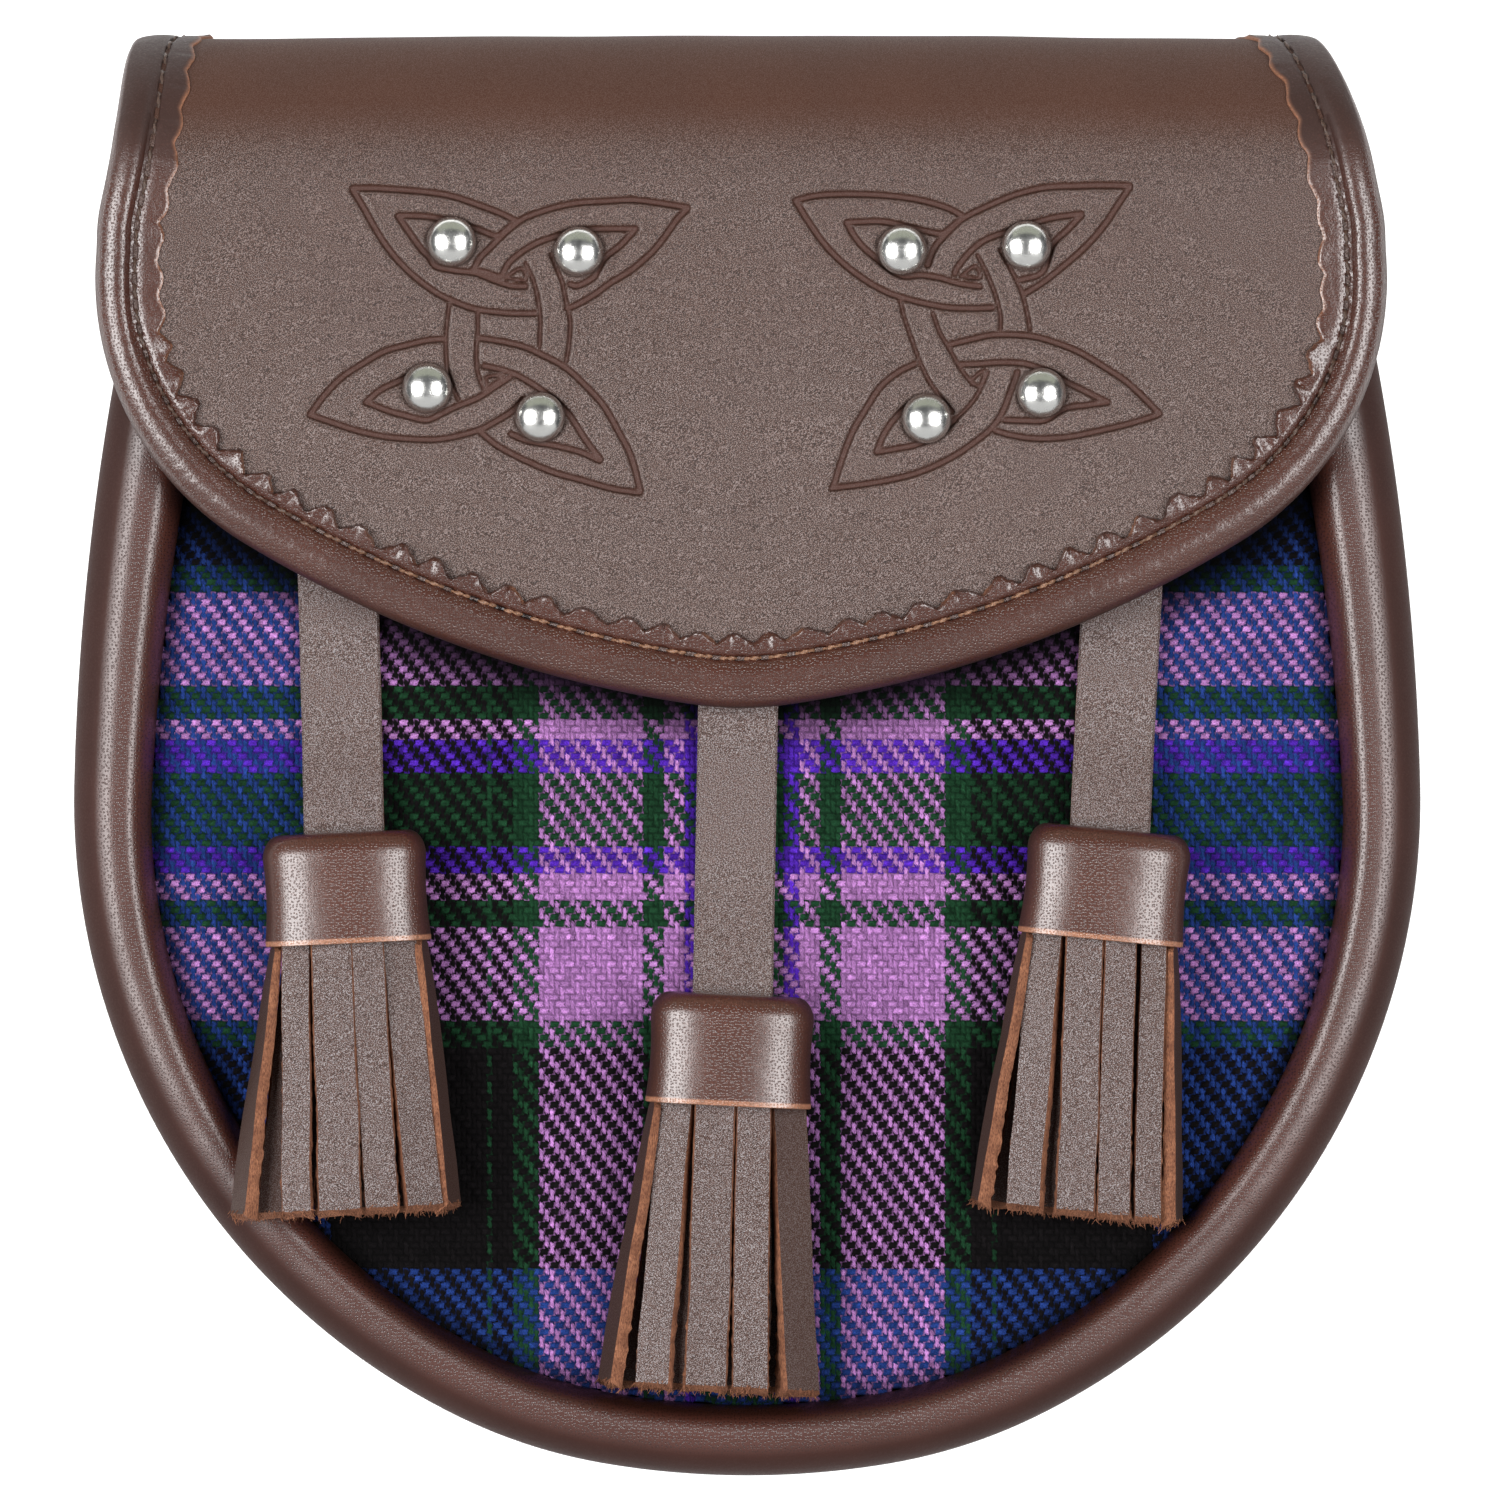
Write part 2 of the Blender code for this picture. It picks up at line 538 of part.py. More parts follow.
def fuse(base, others):
    """Union other objects into a base object in one step and remove them."""
    group = bpy.data.collections.new("strips")
    bpy.context.scene.collection.children.link(group)
    for other in others:
        group.objects.link(other)
    step = base.modifiers.new("union", "BOOLEAN")
    step.operation = "UNION"
    step.solver = "EXACT"
    step.operand_type = "COLLECTION"
    step.collection = group
    bpy.context.view_layer.update()
    shape = bpy.data.meshes.new_from_object(base.evaluated_get(bpy.context.evaluated_depsgraph_get()))
    base.modifiers.clear()
    base.data = shape
    for other in others:
        bpy.data.objects.remove(other, do_unlink=True)
    bpy.data.collections.remove(group)


def tassel_fringe(name, spec, rows):
    """Leather fringe: strips fused to the head inside the cap."""
    base = add_solid(name, fringe_head(spec), LEATHER)
    strips = [add_solid(f"{name}_{k}", fringe_strip(spec, row, k), LEATHER) for k, row in enumerate(rows)]
    fuse(base, strips)
    base.data.materials.clear()
    slot, colour, roughness, metallic = LEATHER
    base.data.materials.append(finish_material(f"{name}_{slot}", colour, roughness, metallic))


def build():
    """Make every piece of the pouch."""
    clear_scene()
    add_solid("back_panel", back_panel(), LEATHER)
    add_solid("gusset", gusset(), ROLL_LEATHER)
    add_solid("front_panel", front_panel(), WOOL)
    add_solid("flap", flap(), LEATHER)
    add_solid("flap_binding", flap_binding(), ROLL_LEATHER)
    add_solid("flap_snap", flap_snap(), STEEL)
    for side, x in (("left", -LOOP_X), ("right", LOOP_X)):
        add_solid(f"belt_loop_{side}", belt_loop(x), LEATHER)
    for number, (x, along) in enumerate(STUDS, start=1):
        add_solid(f"stud_{number}", stud(x, along), STEEL)
    for side, spec in TASSELS.items():
        add_solid(f"tassel_{side}_strap", tassel_strap(spec), LEATHER)
        add_solid(f"tassel_{side}_cap", tassel_cap(spec), ROLL_LEATHER)
        tassel_fringe(f"tassel_{side}_fringe", spec, FRINGE[side])


build()
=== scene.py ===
"""Looks of a sporran pouch that lies on its back: bound leather flap with two pressed knots and dome studs,
checked wool front, rolled gusset, three tassels, and a back with two belt loops.

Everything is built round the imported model, in its own frame. Lengths are in millimetres until a mesh is made.
"""

from __future__ import annotations

import logging
import math
from collections.abc import Sequence
from dataclasses import dataclass, field
from enum import Enum

import bmesh
import bpy
import numpy as np
from mathutils import Matrix

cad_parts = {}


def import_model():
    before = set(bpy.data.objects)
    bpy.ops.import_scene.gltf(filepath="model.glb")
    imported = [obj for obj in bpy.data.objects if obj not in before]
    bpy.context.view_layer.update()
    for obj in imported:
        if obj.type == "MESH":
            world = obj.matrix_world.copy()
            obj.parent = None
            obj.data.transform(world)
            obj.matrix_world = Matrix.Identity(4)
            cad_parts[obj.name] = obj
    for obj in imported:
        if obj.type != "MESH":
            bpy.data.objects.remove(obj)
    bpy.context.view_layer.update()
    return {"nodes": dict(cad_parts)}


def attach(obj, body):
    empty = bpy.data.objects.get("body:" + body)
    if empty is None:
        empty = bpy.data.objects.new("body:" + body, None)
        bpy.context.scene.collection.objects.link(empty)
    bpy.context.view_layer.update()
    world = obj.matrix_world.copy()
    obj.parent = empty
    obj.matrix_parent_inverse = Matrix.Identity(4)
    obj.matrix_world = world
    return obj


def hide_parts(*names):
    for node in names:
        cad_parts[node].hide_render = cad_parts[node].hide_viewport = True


LOG = logging.getLogger("sporran")
MM = 0.001
PER_METRE = 1000.0
LINE_REACH = 1.0            # distance from a pressed line that a mark of 0 stands for, in millimetres
Array = np.ndarray
Colour = tuple[float, float, float]
Rows = tuple[tuple[float, ...], ...]
Socket = bpy.types.NodeSocket


def linear(code: str) -> Colour:
    """Turn a six-figure colour code into linear light.

    Args:
        code: Six hexadecimal figures, red first.

    Returns:
        Red, green and blue from 0 to 1.
    """
    shares = (int(code[k : k + 2], 16) / 255 for k in (0, 2, 4))
    return tuple(s / 12.92 if s <= 0.04045 else ((s + 0.055) / 1.055) ** 2.4 for s in shares)


def smooth(value: Array | float, low: float, high: float) -> Array:
    """Rise smoothly from 0 at low to 1 at high."""
    t = np.clip((np.asarray(value, float) - low) / (high - low), 0.0, 1.0)
    return t * t * (3.0 - 2.0 * t)


def curve_through(points: Sequence[Sequence[float]], steps: int) -> Array:
    """Draw a smooth line through points.

    Args:
        points: The points, at least two.
        steps: Steps between one point and the next.

    Returns:
        Points of the line, one row each.
    """
    given = np.asarray(points, float)
    ends = np.vstack([2 * given[0] - given[1], given, 2 * given[-1] - given[-2]])
    t = (np.arange(steps) / steps)[:, None]
    pieces = []
    for a, b, c, d in zip(ends, ends[1:], ends[2:], ends[3:]):
        square, cube = 2 * a - 5 * b + 4 * c - d, 3 * b - a - 3 * c + d
        pieces.append(0.5 * (2 * b + (c - a) * t + square * t**2 + cube * t**3))
    return np.vstack([*pieces, given[-1:]])


def waves(value: Array, length: float, seed: int) -> Array:
    """Make a slow seeded wander between -1 and 1.

    Args:
        value: Where along the piece, in millimetres.
        length: Length of a typical wave.
        seed: Seed of the wander.

    Returns:
        The wander at each value.
    """
    draw = np.random.default_rng(seed)
    total = np.zeros_like(np.asarray(value, float))
    for k, share in enumerate((0.5, 0.3, 0.2)):
        turn = draw.uniform(0, 2 * math.pi)
        total += share * np.sin(2 * math.pi * value / (length * (1.0, 0.61, 0.37)[k]) + turn)
    return total


def inside(x: Array, y: Array, loop: Array) -> Array:
    """Tell which places lie inside a closed outline.

    Args:
        x: Places across.
        y: Places along.
        loop: Corners of the outline, one row each.

    Returns:
        True for each place inside.
    """
    found = np.zeros(np.shape(x), bool)
    for (x0, y0), (x1, y1) in zip(loop, np.roll(loop, -1, axis=0)):
        if y0 == y1:
            continue
        crosses = (y0 > y) != (y1 > y)
        found ^= crosses & (x < (x1 - x0) * (y - y0) / (y1 - y0) + x0)
    return found


def normals_of(line: Array) -> Array:
    """Give the left-hand normals of a flat open line.

    Args:
        line: Points of the line, one row each.

    Returns:
        Normals of length one, one row each.
    """
    along = np.gradient(line, axis=0)
    along /= np.linalg.norm(along, axis=1, keepdims=True)
    return np.column_stack([-along[:, 1], along[:, 0]])


YARN_MARKS = ("yarn", "under", "float")
PLAIN_INPUTS = {
    "metallic": "Metallic", "specular": "Specular IOR Level", "glow": "Emission Strength",
    "coat_rough": "Coat Roughness"}


@dataclass
class Wiring:
    """Node tree of one material, with short ways to add what the finishes share."""

    material: bpy.types.Material

    def __post_init__(self) -> None:
        """Clear the tree and add the shader and the output."""
        self.material.use_nodes = True
        self.tree = self.material.node_tree
        self.tree.nodes.clear()
        self.shader = self.node("ShaderNodeBsdfPrincipled")
        out = self.node("ShaderNodeOutputMaterial")
        self.tree.links.new(self.shader.outputs[0], out.inputs[0])

    def node(self, kind: str, inputs: dict | None = None, **settings: object) -> bpy.types.Node:
        """Add a node.

        Args:
            kind: Blender's name of the node type.
            inputs: Socket name or number to a value or to a socket that feeds it.
            **settings: Properties of the node itself.

        Returns:
            The node.
        """
        made = self.tree.nodes.new(kind)
        for key, value in settings.items():
            setattr(made, key, value)
        for key, value in (inputs or {}).items():
            if isinstance(value, Socket):
                self.tree.links.new(value, made.inputs[key])
            else:
                made.inputs[key].default_value = value
        return made

    def place(self, stretch: Sequence[float] = (1.0, 1.0, 1.0), turn: float = 0.0) -> Socket:
        """Give the place on the object in millimetres, stretched and turned about Z.

        Args:
            stretch: How much longer features grow along each turned axis.
            turn: Turn in degrees.

        Returns:
            The vector socket.
        """
        here = self.node("ShaderNodeTexCoord").outputs["Object"]
        turned = self.node("ShaderNodeMapping", {0: here, "Rotation": (0.0, 0.0, -math.radians(turn))}).outputs[0]
        scale = tuple(PER_METRE / s for s in stretch)
        return self.node("ShaderNodeMapping", {0: turned, "Scale": scale}).outputs[0]

    def noise(self, where: Socket, size: float, detail: float = 2.0, rough: float = 0.5) -> Socket:
        """Add a noise whose features are about a size in millimetres across.

        Args:
            where: Place in millimetres.
            size: Size of a feature.
            detail: Octaves.
            rough: How strong each finer octave is.

        Returns:
            The value socket, about 0.5 in the mean.
        """
        inputs = {"Vector": where, "Scale": 1.0 / size, "Detail": detail, "Roughness": rough}
        return self.node("ShaderNodeTexNoise", inputs).outputs[0]

    def span(self, value: Socket, low: float, high: float, start: float = 0.0, end: float = 1.0) -> Socket:
        """Map a range of a value to another range, held at its ends.

        Args:
            value: The value socket.
            low: Value that gives start.
            high: Value that gives end.
            start: Result at low.
            end: Result at high.

        Returns:
            The mapped value socket.
        """
        return self.node("ShaderNodeMapRange", {0: value, 1: low, 2: high, 3: start, 4: end}).outputs[0]

    def joined(self, a: Socket, b: Socket | float, how: str) -> Socket:
        """Join two values by one of Blender's plain operations."""
        return self.node("ShaderNodeMath", {0: a, 1: b}, operation=how).outputs[0]

    def sum_of(self, a: Socket, b: Socket | float) -> Socket:
        """Add two values."""
        return self.joined(a, b, "ADD")

    def times(self, a: Socket, b: Socket | float) -> Socket:
        """Multiply two values."""
        return self.joined(a, b, "MULTIPLY")

    def larger(self, a: Socket, b: Socket | float) -> Socket:
        """Give the larger of two values."""
        return self.joined(a, b, "MAXIMUM")

    def less(self, a: Socket, b: Socket | float) -> Socket:
        """Take one value from another."""
        return self.joined(a, b, "SUBTRACT")

    def blend(self, share: Socket | float, a: object, b: object) -> Socket:
        """Blend two colours.

        Args:
            share: How much of b.
            a: First colour or colour socket.
            b: Second colour or colour socket.

        Returns:
            The colour socket.
        """
        made = self.node("ShaderNodeMix", {0: share}, data_type="RGBA")
        for socket, value in ((made.inputs[6], a), (made.inputs[7], b)):
            if isinstance(value, Socket):
                self.tree.links.new(value, socket)
            else:
                socket.default_value = (*value, 1.0)
        return made.outputs[2]

    def scaled(self, colour: Socket, by: Socket | float) -> Socket:
        """Make a colour darker or lighter by a factor."""
        made = self.node("ShaderNodeVectorMath", {0: colour, "Scale": by}, operation="SCALE")
        return made.outputs[0]

    def away(self, value: Socket, middle: float) -> Socket:
        """Give how far a value is from a middle."""
        return self.joined(self.less(value, middle), 0.0, "ABSOLUTE")

    def mark(self) -> tuple[Socket, Socket, Socket]:
        """Give the piece's three marks.

        Returns:
            How near a pressed line or how raw, how much painted shade darkens it, and how lit or dull.
        """
        colour = self.node("ShaderNodeAttribute", attribute_name="mark").outputs["Color"]
        parts = self.node("ShaderNodeSeparateColor", {0: colour}).outputs
        return parts[0], parts[1], parts[2]

    def bump(self, height: Socket, depth: float, before: Socket | None = None) -> Socket:
        """Turn a height into a normal.

        Args:
            height: Height socket, 0 to 1.
            depth: Height of 1, in millimetres.
            before: Normal that this one adds to.

        Returns:
            The normal socket.
        """
        inputs = {"Height": height, "Distance": depth * MM, "Strength": 1.0}
        if before is not None:
            inputs["Normal"] = before
        return self.node("ShaderNodeBump", inputs).outputs[0]

    def finish(self, colour: object, rough: object, normal: Socket | None = None,
               coat: Socket | float = 0.0, **plain: float) -> None:
        """Feed the shader.

        Args:
            colour: Base colour or its socket.
            rough: Roughness or its socket.
            normal: Normal socket.
            coat: How much of a clear coat lies on top.
            **plain: Other inputs of the shader that are the same all over, by their short names.
        """
        skin = normal if isinstance(coat, Socket) else None
        fed = {
            "Base Color": colour, "Roughness": rough, "Normal": normal, "Coat Weight": coat, "Coat Normal": skin}
        for key, value in fed.items():
            if isinstance(value, Socket):
                self.tree.links.new(value, self.shader.inputs[key])
            elif value is not None:
                self.shader.inputs[key].default_value = (*value, 1.0) if key == "Base Color" else value
        for key, value in plain.items():
            self.shader.inputs[PLAIN_INPUTS[key]].default_value = value


@dataclass(frozen=True)
class Finish:
    """A named finish. Each kind wires its own nodes."""

    name: str

    def material(self) -> bpy.types.Material:
        """Give the finish's material, made once.

        Returns:
            The material.
        """
        found = bpy.data.materials.get(self.name)
        if found is None:
            found = bpy.data.materials.new(self.name)
            self.wire(Wiring(found))
        return found

    def wire(self, bench: Wiring) -> None:
        """Wire the nodes; each kind has its own."""
        raise NotImplementedError


@dataclass(frozen=True)
class GrainedLeather(Finish):
    """Pebbled leather whose small grains run up to the right; where they would catch the light, glints are
    painted in as pale specks.
    """

    colour: Colour = linear("3c2114")
    # pale colour of the painted glints and of the painted highlight beside the pressed lines
    speck: Colour = linear("716461")
    pressed: Colour = linear("371b14")
    grain: float = 0.13
    depth: float = 0.11
    rough: float = 0.4
    dull: float = 0.45
    shine: float = 0.36
    wall: float = 0.16

    def wire(self, bench: Wiring) -> None:
        """Wire the grain with painted glints, slow colour drift, the pressed lines with their painted highlight
        and shade, and the dark mark of painted shade and the dull mark.

        Args:
            bench: The material's wiring.
        """
        slanted = bench.place((1.45, 0.9, 1.0), 38.0)
        line, dark, lit_side = bench.mark()
        margin = bench.span(line, 0.0, 1.0, LINE_REACH, -LINE_REACH)
        fine = bench.noise(slanted, self.grain, 1.0, 0.6)
        drift = bench.noise(bench.place(), 14.0, 3.0)
        away_from_lines = bench.times(bench.span(line, 0.0, 0.02, 1.0, 0.0), lit_side)
        calm = bench.times(
            bench.span(margin, 0.0, self.wall + 0.1, 0.35, 1.0), bench.span(away_from_lines, 0.0, 1.0, 1.0, 0.15))
        base = bench.blend(
            bench.span(drift, 0.35, 0.7, 0.0, 0.35), self.colour, tuple(c * 1.3 for c in self.colour))
        pits = bench.times(bench.span(fine, 0.5, 0.4), calm)
        tone = bench.blend(pits, base, tuple(c * 0.25 for c in self.colour))
        # painted glints: pale specks on the grain's peaks, fewer towards the fold
        along = bench.node("ShaderNodeSeparateXYZ", {0: bench.place()}).outputs[1]
        glint_share = bench.times(calm, bench.span(along, 45.0, 85.0, 1.0, 0.7))
        bright = bench.times(bench.span(fine, 0.51, 0.62), glint_share)
        painted_glints = bench.blend(bright, tone, self.speck)
        sunk = bench.span(margin, -0.04, self.wall, 0.65, 0.0)
        shown = bench.blend(sunk, painted_glints, self.pressed)
        # painted highlight: a pale rim beside each pressed line, on its lit side only
        rim = bench.times(bench.span(bench.away(margin, self.wall + 0.22), 0.0, 0.18, 0.22, 0.0), lit_side)
        shown = bench.blend(rim, shown, self.speck)
        # painted shade: a dark line along each pressed line's edge, on one side only
        cut_line_shade = bench.times(bench.span(bench.away(margin, 0.05), 0.0, 0.14, 0.35, 0.0), lit_side)
        shown = bench.blend(cut_line_shade, shown, tuple(c * 0.2 for c in self.colour))
        # the dark mark is painted shade: round the studs' feet, and on fringe strips that lie in shade
        shown = bench.blend(dark, shown, tuple(c * 0.45 for c in self.colour))
        pressed_height = bench.span(margin, -0.08, self.wall + 0.06, 0.0, 1.7)
        height = bench.sum_of(pressed_height, bench.times(fine, calm))
        normal = bench.bump(height, self.depth)
        dulled = bench.larger(bench.larger(away_from_lines, sunk), dark)
        dulled = bench.times(dulled, self.dull)
        rough = bench.sum_of(bench.span(fine, 0.38, 0.62, self.rough + 0.1, self.rough - 0.14), dulled)
        bench.finish(shown, rough, normal, specular=self.shine)


@dataclass(frozen=True)
class RollLeather(Finish):
    """Softer satin leather with fine pores, for the rolls, the edging and the caps."""

    colour: Colour = linear("43241c")
    raw: Colour = linear("7d523e")
    pore: float = 0.47
    pore_dark: float = 0.75
    depth: float = 0.03
    rough: float = 0.33
    dull: float = 0.35
    wrinkle: float = 0.05
    # share of pale specks painted in as glints
    speck: float = 0.08
    dust: float = 0.25
    shine: float = 0.2
    coat: float = 0.85

    def wire(self, bench: Wiring) -> None:
        """Wire pores, slow colour drift, painted glints, and the raw mark, the dark mark of painted shade and the
        dull mark, which also paints shade.

        Args:
            bench: The material's wiring.
        """
        where = bench.place()
        raw, dark, dull = bench.mark()
        cells = {"Vector": where, "Scale": 1.0 / self.pore, "Randomness": 0.7}
        pores = bench.node("ShaderNodeTexVoronoi", cells, voronoi_dimensions="2D")
        seen = bench.span(dull, 0.2, 0.9, 1.0, 0.0)
        pit = bench.times(bench.span(pores.outputs[0], 0.12, 0.3, 1.0, 0.0), seen)
        fine = bench.noise(where, 0.28, 2.0, 0.6)
        drift = bench.noise(where, 11.0, 3.0)
        tone = bench.blend(
            bench.span(drift, 0.35, 0.7, 0.0, 0.5), self.colour, tuple(c * 1.4 for c in self.colour))
        tone = bench.blend(bench.times(pit, self.pore_dark), tone, tuple(c * 0.25 for c in self.colour))
        # painted glints: pale specks on the grain
        light = tuple(c * 3.0 + 0.03 for c in self.colour)
        tone = bench.blend(bench.span(fine, 0.57, 0.72, 0.0, self.speck), tone, light)
        fibre = bench.blend(bench.span(fine, 0.35, 0.65), self.raw, tuple(c * 0.5 for c in self.raw))
        # painted shade: the dull mark darkens the colour to half, the dark mark to a tenth
        shown = bench.blend(raw, bench.scaled(tone, bench.span(dull, 0.0, 1.0, 1.0, 0.5)), fibre)
        shown = bench.blend(dark, shown, tuple(c * 0.1 for c in self.colour))
        height = bench.sum_of(bench.times(pit, -1.0), bench.times(fine, self.dust))
        creases = bench.noise(where, 2.4, 3.0, 0.6)
        normal = bench.bump(height, self.depth, bench.bump(creases, self.wrinkle))
        rough = bench.span(fine, 0.3, 0.7, self.rough + 0.1, self.rough - 0.06)
        rough = bench.sum_of(rough, bench.times(dull, self.dull))
        coat = bench.span(bench.larger(dull, dark), 0.0, 0.8, self.coat, 0.0)
        bench.finish(shown, rough, normal, coat, specular=self.shine, coat_rough=self.rough)


@dataclass(frozen=True)
class RawLeather(Finish):
    """Cut edge or flesh side of leather: tan, fibrous and dull."""

    colour: Colour = linear("97664b")
    dark: Colour = linear("4a2a1e")
    fibre: float = 0.17

    def wire(self, bench: Wiring) -> None:
        """Wire the fibres.

        Args:
            bench: The material's wiring.
        """
        where = bench.place((1.0, 3.0, 1.0))
        fibres = bench.noise(where, self.fibre, 4.0, 0.65)
        blotch = bench.noise(bench.place(), 2.2, 3.0)
        tone = bench.blend(bench.span(fibres, 0.32, 0.68), self.dark, self.colour)
        shown = bench.blend(bench.span(blotch, 0.35, 0.7, 0.0, 0.6), tone, self.dark)
        bench.finish(shown, 0.9, bench.bump(fibres, 0.2), specular=0.2)


@dataclass(frozen=True)
class CheckedWool(Finish):
    """Woollen cloth that takes its yarn colours from the mesh."""

    def wire(self, bench: Wiring) -> None:
        """Wire the fuzz of the fibres over the yarn colours, with painted shade at each yarn's sides and on the
        yarn showing under it.

        Args:
            bench: The material's wiring.
        """
        marks = [bench.node("ShaderNodeAttribute", attribute_name=name) for name in YARN_MARKS]
        yarn, under, lay = (mark.outputs["Color"] for mark in marks)
        parts = bench.node("ShaderNodeSeparateColor", {0: lay}).outputs
        side, run = (bench.span(part, 0.0, 1.0, -1.5, 1.5) for part in parts[:2])
        squared = bench.times(side, side)
        slant = bench.sum_of(bench.times(side, 2.2), bench.times(run, 1.8))
        chance = bench.times(parts[2], 60.0)
        along = bench.node("ShaderNodeCombineXYZ", {0: slant, 1: run, 2: chance}).outputs[0]
        fibres = bench.noise(along, 0.6, 3.0, 0.7)
        fuzz = bench.noise(bench.place((0.8, 2.6, 1.0), 24.0), 0.17, 3.0, 0.7)
        ends = bench.sum_of(bench.times(bench.times(run, run), 1.15), bench.times(squared, 0.5))
        bright, deep = (bench.node("ShaderNodeRGBToBW", {0: tone}).outputs[0] for tone in (yarn, under))
        spread = bench.span(bench.less(bright, deep), -0.1, 0.1, -0.13, 0.13)
        ragged = bench.sum_of(bench.sum_of(ends, spread), bench.span(fuzz, 0.3, 0.7, 0.35, -0.35))
        tone = bench.blend(bench.span(fibres, 0.34, 0.68), bench.scaled(yarn, 0.62), bench.scaled(yarn, 1.45))
        # painted shade: each yarn darker towards its sides
        tone = bench.blend(bench.span(squared, 0.15, 1.0, 0.0, 0.7), tone, bench.scaled(yarn, 0.3))
        # the yarn underneath shows at the float's ends at half brightness, as painted shade
        shown = bench.blend(bench.span(ragged, 0.55, 1.0), tone, bench.scaled(under, 0.5))
        shown = bench.scaled(shown, bench.span(fuzz, 0.32, 0.68, 0.55, 1.5))
        height = bench.sum_of(bench.span(ends, 0.0, 1.3, 1.0, 0.0), bench.times(fuzz, 0.6))
        bench.finish(shown, 0.92, bench.bump(height, 0.2), specular=0.06)


@dataclass(frozen=True)
class Thread(Finish):
    """Waxed sewing thread."""

    colour: Colour = linear("38261c")
    pale: Colour = linear("6b4c38")

    def wire(self, bench: Wiring) -> None:
        """Wire fine strands, paler where the first mark says so.

        Args:
            bench: The material's wiring.
        """
        strands = bench.noise(bench.place(), 0.14, 2.0, 0.6)
        tone = bench.blend(bench.mark()[0], self.colour, self.pale)
        # the strands' tone from a quarter to twice the colour: partly the strands' own tone, partly painted
        # glints
        shown = bench.scaled(tone, bench.span(strands, 0.32, 0.68, 0.25, 2.0))
        bench.finish(shown, 0.55, bench.bump(strands, 0.04))


@dataclass(frozen=True)
class BrightMetal(Finish):
    """Polished steel with a faint haze of handling."""

    colour: Colour = (0.76, 0.755, 0.73)

    def wire(self, bench: Wiring) -> None:
        """Wire a faint unevenness of the polish.

        Args:
            bench: The material's wiring.
        """
        haze = bench.noise(bench.place(), 0.9, 3.0)
        shown = bench.blend(
            bench.span(haze, 0.4, 0.7, 0.0, 0.3), self.colour, tuple(c * 0.86 for c in self.colour))
        bench.finish(shown, bench.span(haze, 0.3, 0.7, 0.2, 0.28), bench.bump(haze, 0.03), metallic=1.0)


@dataclass(frozen=True)
class Paper(Finish):
    """Plain pale floor that is lit from below, as a product table is."""

    colour: Colour = (0.86, 0.86, 0.86)
    glow: float = 0.32

    def wire(self, bench: Wiring) -> None:
        """Wire an even pale tone.

        Args:
            bench: The material's wiring.
        """
        tone = bench.blend(bench.noise(bench.place(), 40.0), self.colour, tuple(c * 1.01 for c in self.colour))
        bench.finish(tone, 0.9, None, specular=0.1, glow=self.glow)
        bench.shader.inputs["Emission Color"].default_value = (1.0, 1.0, 1.0, 1.0)


FLAP_LEATHER = GrainedLeather("flap_grained_leather")
STRIP_LEATHER = GrainedLeather(
    "strip_grained_leather", colour=linear("47291d"), speck=linear("7e797a"), depth=0.11, shine=0.36)
BACK_LEATHER = GrainedLeather("back_grained_leather", colour=linear("402720"))
ROLL_LEATHER = RollLeather("roll_leather", colour=linear("3b1e17"))
CAP_LEATHER = RollLeather("cap_leather", colour=linear("3b1c12"), raw=linear("93634a"), pore=0.42, pore_dark=0.5,
                          depth=0.028, rough=0.28, speck=0.5, dust=0.5, shine=0.35, coat=0.85)
EDGE_LEATHER = RollLeather("edging_leather", colour=linear("381b12"), raw=linear("8a5b42"), pore=0.45,
                           pore_dark=0.3, depth=0.05, rough=0.27, wrinkle=0.14, speck=0.3, dust=0.5, shine=0.4,
                           coat=0.7)
RAW_LEATHER = RawLeather("raw_leather")
WOOL = CheckedWool("checked_wool_cloth")
THREAD = Thread("waxed_thread")
STEEL = BrightMetal("polished_steel")


class Slot(Enum):
    """The record's material slots."""

    LEATHER = "brown_leather"
    SOFT_LEATHER = "soft_brown_leather"
    WOOL = "checked_wool"
    METAL = "bright_metal"


def grid_faces(rows: int, columns: int, wrap: bool = False, loop: bool = False) -> Array:
    """List the four-sided faces of a grid of points.

    Args:
        rows: Rows of points.
        columns: Points in a row.
        wrap: Each row closes on itself.
        loop: The last row joins the first.

    Returns:
        Four point numbers for each face.
    """
    r = np.arange(rows if loop else rows - 1)[:, None]
    c = np.arange(columns if wrap else columns - 1)[None, :]
    n, s = (c + 1) % columns, (r + 1) % rows
    return np.stack([r * columns + c, r * columns + n, s * columns + n, s * columns + c], axis=-1).reshape(-1, 4)


